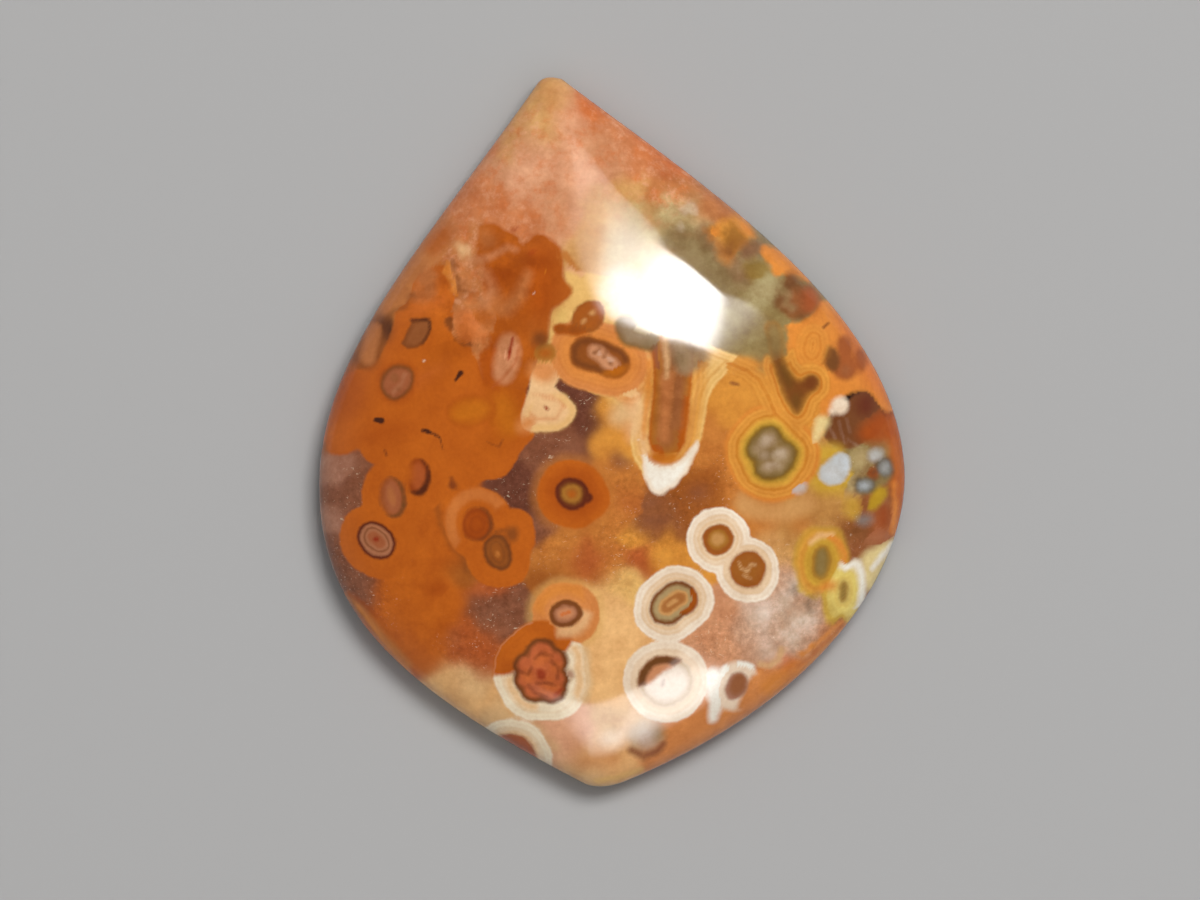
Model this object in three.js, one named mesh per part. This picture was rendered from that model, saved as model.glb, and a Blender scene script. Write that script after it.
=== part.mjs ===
// A polished crazy lace agate cabochon: one solid gemstone, cut to a leaf-shaped outline,
// domed on top and flat underneath.
// Millimetres, +Z up. The stone lies on its flat back with the dome up and its pointed tip
// towards +Y. The origin is at the centre of the outline, on the back.
import * as THREE from "three";

// Driving dimensions
const HALF_LENGTH = 20.0; // of the outline along Y, from the middle to the tip or the toe
const HALF_WIDTH = 16.5; // of the outline along X
const HEIGHT = 6.0; // from the back to the top of the dome
const GIRDLE_TOP = 1.7; // height at which the dome begins
const BACK_BEVEL = 0.5; // chamfer round the edge of the flat back
const GIRDLE_LEAN = 0.15; // how far the girdle leans in between the chamfer and the dome
const CROWN_OFFSET = -2.0; // where the dome is highest, along Y from the outline's middle
const CROWN_HALF_LENGTH = 17.5; // of the ellipse that the level lines near the top follow
const RIDGE_POWER = 2.0; // how fast the level lines take on the outline's length and width
const ROUNDING = THREE.MathUtils.degToRad(14); // turn to each side over which they round off its tip
const CORNER_POWER = 6.0; // how late on the way out they take back the outline's own tip and toe

// How finely the surface is cut into facets
const OUTLINE_POINTS = 144;
const DOME_RINGS = 15;
const ROUNDING_STEPS = 6; // samples to each side in the rounding of the tip

const STONE_COLOUR = 0xc9813f;

// The outline at the girdle, as seen from above. The tip and the toe are blunted by a small
// round, and each side is two curves that meet at its belly, where the outline runs straight
// along Y.
function leafOutline() {
  const bellyRight = [HALF_WIDTH, -3.2];
  const bellyLeft = [-HALF_WIDTH, -3.1];
  const tipRight = [-1.3, HALF_LENGTH - 0.1];
  const tipPeak = [-2.4, HALF_LENGTH + 0.3];
  const tipLeft = [-2.8, HALF_LENGTH - 0.4];
  const toeRight = [-0.4, -HALF_LENGTH + 0.2];
  const toePeak = [-1.7, -HALF_LENGTH - 0.2];
  const toeLeft = [-2.6, -HALF_LENGTH + 0.2];

  const outline = new THREE.Path();
  outline.moveTo(...toeRight);
  outline.bezierCurveTo(12.2, -15.6, HALF_WIDTH, -7.9, ...bellyRight);
  outline.bezierCurveTo(HALF_WIDTH, 6.0, 6.1, 13.5, ...tipRight);
  outline.quadraticCurveTo(...tipPeak, ...tipLeft);
  outline.bezierCurveTo(-10.4, 10.3, -HALF_WIDTH, 4.8, ...bellyLeft);
  outline.bezierCurveTo(-HALF_WIDTH, -9.3, -12.8, -13.7, ...toeLeft);
  outline.quadraticCurveTo(...toePeak, ...toeRight);
  return outline;
}

// Points evenly spaced round the outline, counter-clockwise from above, centred on the origin.
function outlinePoints() {
  const points = leafOutline().getSpacedPoints(OUTLINE_POINTS).slice(0, OUTLINE_POINTS);
  const middle = new THREE.Box2().setFromPoints(points).getCenter(new THREE.Vector2());
  return points.map((point) => point.sub(middle));
}

// The point at a distance from the dome's axis, towards a point of the outline, at height z.
function fromAxis(point, distance, z) {
  const arm = point.clone();
  arm.y -= CROWN_OFFSET;
  arm.setLength(distance);
  return new THREE.Vector3(arm.x, arm.y + CROWN_OFFSET, z);
}

// How far a point of the outline lies from the dome's axis.
function edgeRadius(point) {
  return Math.hypot(point.x, point.y - CROWN_OFFSET);
}

// How far the round crown's ellipse lies from the dome's axis, towards a point of the outline.
function crownRadius(point) {
  const x = point.x / HALF_WIDTH;
  const y = (point.y - CROWN_OFFSET) / CROWN_HALF_LENGTH;
  return edgeRadius(point) / Math.hypot(x, y);
}

// The direction of a point of the outline from the dome's axis.
function turnOf(point) {
  return Math.atan2(point.y - CROWN_OFFSET, point.x);
}

// How far the outline lies from the dome's axis in a direction, between its two nearest points.
function radiusTowards(outline, turn) {
  const start = outline.findIndex((point, i) => {
    const next = outline[(i + 1) % outline.length];
    return turnBetween(point, turn) <= turnBetween(point, turnOf(next));
  });
  const here = outline[start];
  const next = outline[(start + 1) % outline.length];
  const along = turnBetween(here, turn) / turnBetween(here, turnOf(next));
  return THREE.MathUtils.lerp(edgeRadius(here), edgeRadius(next), along);
}

// The counter-clockwise turn from a point of the outline to a direction.
function turnBetween(point, turn) {
  return THREE.MathUtils.euclideanModulo(turn - turnOf(point), 2 * Math.PI);
}

// The outline's distance from the dome's axis, averaged over the rounding to each side of a point.
function roundedRadius(outline, point) {
  let total = 0;
  let weights = 0;
  for (let step = -ROUNDING_STEPS; step <= ROUNDING_STEPS; step += 1) {
    const side = step / (ROUNDING_STEPS + 1);
    const weight = Math.cos((side * Math.PI) / 2) ** 2;
    total += weight * radiusTowards(outline, turnOf(point) + side * ROUNDING);
    weights += weight;
  }
  return total / weights;
}

// A level ring of the dome. share runs from 0 at the apex to 1 at the girdle. Near the apex the
// ring is an ellipse, and it takes on the outline's tip and toe as it grows.
function domeRing(outline, roundedRadii, share) {
  const rise = HEIGHT - GIRDLE_TOP;
  const z = GIRDLE_TOP + rise * Math.sqrt(1 - share * share);
  return outline.map((point, i) => {
    const reach = THREE.MathUtils.lerp(roundedRadii[i], edgeRadius(point), share ** CORNER_POWER);
    const edge = reach - GIRDLE_LEAN;
    const crown = crownRadius(point);
    const radius = share * (crown + (edge - crown) * share ** RIDGE_POWER);
    return fromAxis(point, radius, z);
  });
}

// A ring that runs inside the outline by inset, at height z.
function wallRing(outline, inset, z) {
  return outline.map((point) => fromAxis(point, edgeRadius(point) - inset, z));
}

// Every ring of the stone, from the edge of the back up to the last one below the apex. The dome's
// rings are spaced by equal steps of angle, so they crowd towards the steep edge.
function stoneRings() {
  const outline = outlinePoints();
  const roundedRadii = outline.map((point) => roundedRadius(outline, point));
  const rings = [
    wallRing(outline, BACK_BEVEL, 0),
    wallRing(outline, 0, BACK_BEVEL),
  ];
  for (let step = DOME_RINGS; step > 0; step -= 1) {
    const angle = (step / DOME_RINGS) * (Math.PI / 2);
    rings.push(domeRing(outline, roundedRadii, Math.sin(angle)));
  }
  return rings;
}

// The closed surface through the rings, with one point in the middle of the back and one at the
// apex.
function stoneGeometry() {
  const rings = stoneRings();
  const count = OUTLINE_POINTS;
  const middleOfBack = new THREE.Vector3(0, CROWN_OFFSET, 0);
  const top = new THREE.Vector3(0, CROWN_OFFSET, HEIGHT);
  const vertices = [...rings.flat(), middleOfBack, top];
  const back = rings.length * count;
  const apex = back + 1;
  const lastRing = (rings.length - 1) * count;

  const faces = [];
  for (let i = 0; i < count; i += 1) {
    const next = (i + 1) % count;
    faces.push(back, next, i);
    faces.push(apex, lastRing + i, lastRing + next);
    for (let base = 0; base < lastRing; base += count) {
      faces.push(base + i, base + next, base + count + next);
      faces.push(base + i, base + count + next, base + count + i);
    }
  }

  const geometry = new THREE.BufferGeometry().setFromPoints(vertices);
  geometry.setIndex(faces);
  geometry.computeVertexNormals();
  return geometry;
}

const stone = new THREE.Mesh(
  stoneGeometry(),
  new THREE.MeshStandardMaterial({ color: STONE_COLOUR, roughness: 0.08, metalness: 0 }),
);
stone.name = "cabochon";

const cabochon = new THREE.Group();
cabochon.add(stone);

export default cabochon;
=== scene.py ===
"""Looks of a crazy lace agate cabochon: a polished, leaf-shaped stone with a pointed tip.

The stone is one piece. Its surface is rebuilt here as a fine smooth mesh of the same shape
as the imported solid. Every marking is a named shape in millimetres on that surface: the mesh
carries how deep each point lies inside the markings, and the material turns that depth into
sharp edged bands, rings and fields of colour.
"""

import math

import bpy
import numpy as np
from mathutils import Matrix, Vector


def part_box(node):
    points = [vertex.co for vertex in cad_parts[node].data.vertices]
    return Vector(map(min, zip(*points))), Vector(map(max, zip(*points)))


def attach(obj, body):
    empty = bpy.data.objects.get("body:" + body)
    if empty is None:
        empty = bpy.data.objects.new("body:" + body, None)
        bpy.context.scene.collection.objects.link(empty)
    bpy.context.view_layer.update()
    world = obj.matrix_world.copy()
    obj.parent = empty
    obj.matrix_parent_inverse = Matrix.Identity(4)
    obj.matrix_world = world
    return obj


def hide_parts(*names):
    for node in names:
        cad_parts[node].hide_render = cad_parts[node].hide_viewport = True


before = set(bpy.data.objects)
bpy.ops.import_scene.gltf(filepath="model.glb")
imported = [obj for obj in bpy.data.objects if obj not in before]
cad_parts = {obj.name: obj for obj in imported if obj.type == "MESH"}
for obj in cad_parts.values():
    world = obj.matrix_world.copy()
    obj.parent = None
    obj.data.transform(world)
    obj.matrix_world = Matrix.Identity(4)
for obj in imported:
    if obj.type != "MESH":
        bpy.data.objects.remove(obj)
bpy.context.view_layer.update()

MM = 0.001

# The stone's sizes in millimetres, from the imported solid's box and its own profile
box_low, box_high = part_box("cabochon")
HALF_WIDTH = (box_high.x - box_low.x) / MM / 2
HALF_LENGTH = (box_high.y - box_low.y) / MM / 2
HEIGHT = box_high.z / MM
GIRDLE_TOP = 1.7
BACK_BEVEL = 0.5
GIRDLE_LEAN = 0.03
CROWN_OFFSET = -2.0
CROWN_HALF_LENGTH = 17.5
RIDGE_POWER = 2.0
ROUNDING = math.radians(14)
CORNER_POWER = 6.0
ROUNDING_STEPS = 6
DRAWN_HALF_LENGTH = 20.0  # the half length at which the outline's places are given
BACK_STITCH = 0.25  # width of the strip between the bevel and the grid of the flat back

# Mesh density: cells across the dome, and half as many across the flat back
DOME_CELLS = 260
BACK_CELLS = DOME_CELLS // 2
GIRDLE_ROWS = 6
BEVEL_ROWS = 3
OUTLINE_STEPS = 240  # points on each curve of the outline
SECTION_STEPS = 400  # points on the dome's section, to space its rings
SHARP_ANGLE = math.radians(25)


# Outline seen from above


def cubic(start, pull_out, pull_in, end, t):
    """Points of a cubic Bezier curve."""
    s = 1 - t
    weights = np.stack([s**3, 3 * s * s * t, 3 * s * t * t, t**3], axis=1)
    return weights @ np.array([start, pull_out, pull_in, end])


def quadratic(start, pull, end, t):
    """Points of a quadratic Bezier curve."""
    s = 1 - t
    weights = np.stack([s * s, 2 * s * t, t * t], axis=1)
    return weights @ np.array([start, pull, end])


def leaf_outline():
    """The leaf-shaped outline with its blunted tip and toe, as a dense closed loop of (x, y)."""
    reach = HALF_WIDTH
    length = DRAWN_HALF_LENGTH
    t = np.linspace(0, 1, OUTLINE_STEPS, endpoint=False)
    belly_right = (reach, -3.2)
    belly_left = (-reach, -3.1)
    tip_right = (-1.3, length - 0.1)
    tip_peak = (-2.4, length + 0.3)
    tip_left = (-2.8, length - 0.4)
    toe_right = (-0.4, -length + 0.2)
    toe_peak = (-1.7, -length - 0.2)
    toe_left = (-2.6, -length + 0.2)
    loop = np.concatenate(
        [
            cubic(toe_right, (12.2, -15.6), (reach, -7.9), belly_right, t),
            cubic(belly_right, (reach, 6.0), (6.1, 13.5), tip_right, t),
            quadratic(tip_right, tip_peak, tip_left, t),
            cubic(tip_left, (-10.4, 10.3), (-reach, 4.8), belly_left, t),
            cubic(belly_left, (-reach, -9.3), (-12.8, -13.7), toe_left, t),
            quadratic(toe_left, toe_peak, toe_right, t),
        ]
    )
    loop = loop - (loop.min(axis=0) + loop.max(axis=0)) / 2
    return loop * np.array([HALF_WIDTH, HALF_LENGTH]) / loop.max(axis=0)


OUTLINE = leaf_outline()
OUTLINE_TURN = np.arctan2(OUTLINE[:, 1] - CROWN_OFFSET, OUTLINE[:, 0])
OUTLINE_REACH = np.hypot(OUTLINE[:, 0], OUTLINE[:, 1] - CROWN_OFFSET)
TURN_ORDER = np.argsort(OUTLINE_TURN)


def edge_radius(turn):
    """Distance from the dome's axis to the outline in a direction."""
    return np.interp(turn, OUTLINE_TURN[TURN_ORDER], OUTLINE_REACH[TURN_ORDER], period=2 * math.pi)


def crown_radius(turn):
    """Distance from the dome's axis to the plain oval that the crown follows near its middle."""
    return 1 / np.hypot(np.cos(turn) / HALF_WIDTH, np.sin(turn) / CROWN_HALF_LENGTH)


def rounded_radius(turn):
    """The outline's distance from the dome's axis, averaged over the rounding to each side."""
    total = 0.0
    weights = 0.0
    for step in range(-ROUNDING_STEPS, ROUNDING_STEPS + 1):
        side = step / (ROUNDING_STEPS + 1)
        weight = math.cos(side * math.pi / 2) ** 2
        total = total + weight * edge_radius(turn + side * ROUNDING)
        weights += weight
    return total / weights


def points_round_axis(radius, turn, height):
    """Points at distances and in directions from the dome's axis, at one height or one each."""
    x = radius * np.cos(turn)
    y = CROWN_OFFSET + radius * np.sin(turn)
    return np.stack(np.broadcast_arrays(x, y, height), axis=1)


def dome_points(share, turn):
    """Points of the dome at shares of the way from its axis to the girdle."""
    crown = crown_radius(turn)
    rounded = rounded_radius(turn)
    edge = rounded + (edge_radius(turn) - rounded) * share**CORNER_POWER - GIRDLE_LEAN
    radius = share * (crown + (edge - crown) * share**RIDGE_POWER)
    height = GIRDLE_TOP + (HEIGHT - GIRDLE_TOP) * np.sqrt(np.clip(1 - share**2, 0, 1))
    return points_round_axis(radius, turn, height)


def even_share(rho):
    """The share of the way out that spaces rings evenly along a dome's curved section."""
    bend = np.linspace(0, math.pi / 2, SECTION_STEPS)
    along = np.hypot(HALF_WIDTH * np.cos(bend), (HEIGHT - GIRDLE_TOP) * np.sin(bend))
    length = np.concatenate([[0], np.cumsum((along[1:] + along[:-1]) / 2)])
    return np.sin(np.interp(rho, length / length[-1], bend))


# Mesh of the stone


def disc_grid(cells):
    """A square grid bent onto the unit disc, its quads, and its border as one loop."""
    steps = np.linspace(-1, 1, cells + 1)
    a, b = np.meshgrid(steps, steps, indexing="xy")
    a = a.ravel()
    b = b.ravel()
    wide = np.abs(a) > np.abs(b)
    safe_a = np.where(wide, a, 1.0)
    safe_b = np.where(b == 0, 1.0, b)
    turn = np.where(wide, math.pi / 4 * b / safe_a, math.pi / 2 - math.pi / 4 * a / safe_b)
    rho = np.where(wide, a, b)
    x = rho * np.cos(turn)
    y = rho * np.sin(turn)
    index = np.arange((cells + 1) ** 2).reshape(cells + 1, cells + 1)
    quads = np.stack(
        [index[:-1, :-1], index[:-1, 1:], index[1:, 1:], index[1:, :-1]], axis=-1
    ).reshape(-1, 4)
    border = np.concatenate(
        [index[0, :-1], index[:-1, -1], index[-1, :0:-1], index[:0:-1, 0]]
    )
    return x, y, quads, border


def ring_faces(upper, lower):
    """Quads between two loops of the same length, the upper one first, facing outwards."""
    return np.stack([upper, lower, np.roll(lower, -1), np.roll(upper, -1)], axis=1)


def wall_rows():
    """Each row of the girdle and the bevel under the dome, as (inset, height)."""
    drop = GIRDLE_TOP - BACK_BEVEL
    for step in range(1, GIRDLE_ROWS + 1):
        share = step / GIRDLE_ROWS
        yield GIRDLE_LEAN * (1 - share), GIRDLE_TOP - drop * share
    for step in range(1, BEVEL_ROWS + 1):
        share = step / BEVEL_ROWS
        yield BACK_BEVEL * share, BACK_BEVEL * (1 - share)


def stitches(outer, inner):
    """Triangles between a loop and another inside it with half as many points."""
    first = outer[0::2]
    middle = outer[1::2]
    last = np.roll(first, -1)
    inner_next = np.roll(inner, -1)
    return [
        np.stack([first, inner, middle], axis=1),
        np.stack([middle, inner, inner_next], axis=1),
        np.stack([middle, inner_next, last], axis=1),
    ]


def build_points():
    """All vertices in millimetres, the faces, and which vertices belong to the flat back."""
    x, y, quads, loop = disc_grid(DOME_CELLS)
    turn = np.arctan2(y, x)
    points = [dome_points(even_share(np.clip(np.hypot(x, y), 0, 1)), turn)]
    faces = [quads]
    total = len(points[0])
    loop_turn = turn[loop]
    for inset, height in wall_rows():
        points.append(points_round_axis(edge_radius(loop_turn) - inset, loop_turn, height))
        next_loop = total + np.arange(len(loop))
        faces.append(ring_faces(loop, next_loop))
        total += len(loop)
        loop = next_loop
    x, y, quads, border = disc_grid(BACK_CELLS)
    turn = np.arctan2(y, x)
    radius = np.hypot(x, y) * (edge_radius(turn) - BACK_BEVEL - BACK_STITCH)
    points.append(points_round_axis(radius, turn, 0.0))
    faces.append(quads[:, ::-1] + total)
    faces += stitches(loop, border + total)
    is_back = np.zeros(total + len(x), bool)
    is_back[total:] = True
    is_back[loop] = True
    return np.concatenate(points), faces, is_back


POINTS, FACES, IS_BACK = build_points()


# Noise over the surface, the same on every run

LATTICE = 64  # points along each side of the noise's lattice, which repeats beyond them


def soft_noise(x, y, size, seed):
    """Smooth random field between -1 and 1 whose bumps are about size millimetres wide."""
    lattice = np.random.default_rng(seed).uniform(-1, 1, (LATTICE, LATTICE))
    u = x / size + LATTICE / 2
    v = y / size + LATTICE / 2
    column = np.floor(u).astype(int)
    row = np.floor(v).astype(int)
    s = u - column
    t = v - row
    s = s * s * (3 - 2 * s)
    t = t * t * (3 - 2 * t)

    def at(i, j):
        return lattice[(row + j) % LATTICE, (column + i) % LATTICE]

    low = at(0, 0) * (1 - s) + at(1, 0) * s
    high = at(0, 1) * (1 - s) + at(1, 1) * s
    return low * (1 - t) + high * t


# Shapes: each returns a function of (x, y) that is positive inside, in millimetres

TINY = 1e-6  # keeps a division from failing in the middle of an oval
CORNER_CUT = 0.25  # share of each side that is cut off at both its ends
PATCH_REACH = 2.0  # how far outside a patch its exact distance is worked out
OUTSIDE = -50.0  # depth of a point that no shape reaches
EDGE = 0.06  # half the width of a crisp edge


def oval(x, y, across, along=None, tilt=0.0):
    """Ellipse about (x, y), half sizes across and along, turned anticlockwise by tilt degrees."""
    along = across if along is None else along
    c = math.cos(math.radians(tilt))
    s = math.sin(math.radians(tilt))

    def depth(px, py):
        u = (px - x) * c + (py - y) * s
        v = -(px - x) * s + (py - y) * c
        k = np.hypot(u / across, v / along) + TINY
        slope = np.hypot(u / across**2, v / along**2) + TINY
        return k * (1 - k) / slope

    return depth


def tube(*places, r=0.5, end=None):
    """Rounded stroke through the places, its radius running from r to end."""
    end = r if end is None else end
    places = [np.array(p, float) for p in places]
    spans = [np.hypot(*(b - a)) for a, b in zip(places, places[1:])]

    def depth(px, py):
        best = np.full(np.shape(px), -np.inf)
        walked = 0.0
        for a, b, span in zip(places, places[1:], spans):
            along = ((px - a[0]) * (b[0] - a[0]) + (py - a[1]) * (b[1] - a[1])) / span**2
            along = np.clip(along, 0, 1)
            gap = np.hypot(px - a[0] - along * (b[0] - a[0]), py - a[1] - along * (b[1] - a[1]))
            share = (walked + along * span) / sum(spans)
            best = np.maximum(best, r + (end - r) * share - gap)
            walked += span
        return best

    return depth


def rounded(corners, cuts=2):
    """A closed loop with its corners cut off again and again, so that it turns into a curve."""
    for _ in range(cuts):
        after = np.roll(corners, -1, axis=0)
        near = (1 - CORNER_CUT) * corners + CORNER_CUT * after
        far = CORNER_CUT * corners + (1 - CORNER_CUT) * after
        corners = np.stack([near, far], axis=1).reshape(-1, 2)
    return corners


def patch(*corners, cuts=2):
    """Freeform shape that follows the corners as a smooth closed curve."""
    loop = rounded(np.array(corners, float), cuts)
    low = loop.min(axis=0)
    high = loop.max(axis=0)

    def depth(px, py):
        past = np.hypot(
            np.clip(np.maximum(low[0] - px, px - high[0]), 0, None),
            np.clip(np.maximum(low[1] - py, py - high[1]), 0, None),
        )
        signed = -past
        close = past < PATCH_REACH
        qx = px[close]
        qy = py[close]
        gap = np.full(len(qx), np.inf)
        inside = np.zeros(len(qx), bool)
        for a, b in zip(loop, np.roll(loop, -1, axis=0)):
            ex, ey = b - a
            wx = qx - a[0]
            wy = qy - a[1]
            along = np.clip((wx * ex + wy * ey) / (ex * ex + ey * ey), 0, 1)
            gap = np.minimum(gap, (wx - ex * along) ** 2 + (wy - ey * along) ** 2)
            crosses = (a[1] > qy) != (b[1] > qy)
            if ey != 0:
                inside ^= crosses & (wx < ex * wy / ey)
        signed[close] = np.where(inside, 1, -1) * np.sqrt(gap)
        return signed

    return depth


def blend_up(a, b, melt):
    """The greater of two depths, with the crease between them filled over melt."""
    if melt <= 0:
        return np.maximum(a, b)
    near = np.clip(melt - np.abs(a - b), 0, None) / melt
    return np.maximum(a, b) + near * near * melt / 4


def join(*shapes, melt=0.25):
    """Union of shapes that melt into each other."""

    def depth(px, py):
        total = shapes[0](px, py)
        for shape in shapes[1:]:
            total = blend_up(total, shape(px, py), melt)
        return total

    return depth


def both(one, other):
    """Where two shapes overlap."""
    return lambda px, py: np.minimum(one(px, py), other(px, py))


def less(one, other):
    """One shape with the other taken out of it."""
    return lambda px, py: np.minimum(one(px, py), -other(px, py))


def grow(shape, by):
    """A shape grown outwards by so many millimetres."""
    return lambda px, py: shape(px, py) + by


# Palette of the stone, as display colours from 0 to 255

PALETTE = {
    "orange": (189, 93, 20),
    "deep orange": (168, 74, 12),
    "bright orange": (220, 134, 52),
    "pale orange": (214, 132, 68),
    "copper": (192, 115, 48),
    "peach": (234, 186, 132),
    "cream": (242, 220, 186),
    "white": (246, 238, 222),
    "milk": (224, 220, 216),
    "oat": (228, 206, 184),
    "vanilla": (238, 214, 186),
    "olive grey": (140, 116, 76),
    "apricot": (236, 180, 116),
    "straw pale": (234, 210, 146),
    "olive tan": (186, 160, 110),
    "mustard": (186, 146, 26),
    "lemon": (234, 208, 114),
    "pearl": (192, 192, 190),
    "slate": (126, 126, 122),
    "slate dark": (84, 74, 54),
    "amber": (178, 86, 14),
    "deep amber": (166, 72, 8),
    "honey": (214, 140, 54),
    "honey pale": (230, 180, 104),
    "straw": (226, 194, 108),
    "ochre": (204, 160, 52),
    "tan": (208, 152, 90),
    "tan pale": (222, 176, 122),
    "rose": (206, 142, 100),
    "rose pale": (222, 158, 118),
    "salmon": (202, 122, 74),
    "rust": (176, 86, 38),
    "rust bright": (208, 108, 48),
    "maroon": (100, 40, 18),
    "dark brown": (70, 32, 16),
    "cocoa": (135, 72, 42),
    "bark": (112, 66, 28),
    "rust brown": (158, 80, 34),
    "sienna": (150, 88, 48),
    "golden tan": (188, 132, 68),
    "clay": (166, 92, 54),
    "burnt": (152, 64, 12),
    "sand brown": (176, 112, 76),
    "amber gold": (194, 106, 18),
    "taupe": (150, 122, 90),
    "hollow brown": (118, 68, 34),
    "russet": (194, 98, 54),
    "wine": (150, 44, 16),
    "umber": (118, 62, 24),
    "brown": (156, 84, 28),
    "chestnut": (150, 86, 42),
    "gold brown": (170, 112, 40),
    "olive": (140, 108, 44),
    "olive dark": (98, 74, 24),
    "moss": (142, 118, 70),
    "moss pale": (172, 152, 106),
    "mauve": (132, 78, 52),
    "mauve dark": (108, 60, 42),
    "mauve pale": (170, 116, 90),
    "quartz": (200, 152, 120),
    "quartz pale": (210, 174, 150),
    "dusty": (186, 112, 60),
    "dusty pale": (202, 134, 90),
    "grey tan": (166, 138, 104),
}


def linear(colour):
    """A palette colour as the linear values that shaders use."""
    share = np.array(PALETTE[colour]) / 255
    return np.where(share > 0.04045, ((share + 0.055) / 1.055) ** 2.4, share / 12.92)


# Layers of marking, the lowest first. Where shapes of one layer overlap, the deepest is seen

LAYERS = (
    "field", "patch", "vein", "halo", "rim", "band", "stripe", "shell", "core", "heart", "dot", "spot",
    "speck",
)
LINED = ("rim", "band", "stripe")  # layers with fine bands along their edges
RAGGED = ("field", "patch", "vein", "halo")  # layers whose edges are torn where it is marbled
MELTS = {"field": 0.3, "rim": 0.2, "halo": 0.4, "band": 0.15}  # how far their shapes run together
marks = {layer: [] for layer in LAYERS}


def mark(layer, shape, colour, soft=EDGE, cover=1.0, lines=0.0):
    """Adds one shape of one colour to a layer. soft is half the width of its edge, cover is how
    much it hides what lies below, and lines is how strong its fine bands are."""
    marks[layer].append((shape, linear(colour), soft, cover, lines))


def nodule(shape, lines=0.0, **skins):
    """An eye: skins are layer=(reach beyond the core, colour, softness, cover). The softness and
    the cover, or the cover alone, can be left out."""
    for layer, (reach, *look) in skins.items():
        own_lines = {"lines": lines} if layer in LINED else {}
        mark(layer, grow(shape, reach), *look, **own_lines)


def stains(layer, colour, soft, cover, *places):
    """Ovals of one colour, each as (x, y, across, along, tilt), of which the last two can be
    left out."""
    for place in places:
        mark(layer, oval(*place), colour, soft, cover)


def stroke(layer, colour, soft, cover, r, *places, end=None, lines=0.0):
    """A line of one colour through the places, its half width running from r to end."""
    mark(layer, tube(*places, r=r, end=end), colour, soft, cover, lines)


def ring(shape, outer, inner):
    """The band between two distances outside a shape."""
    return less(grow(shape, outer), grow(shape, inner))


# Markings, region by region, seen from above with the tip up


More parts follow.
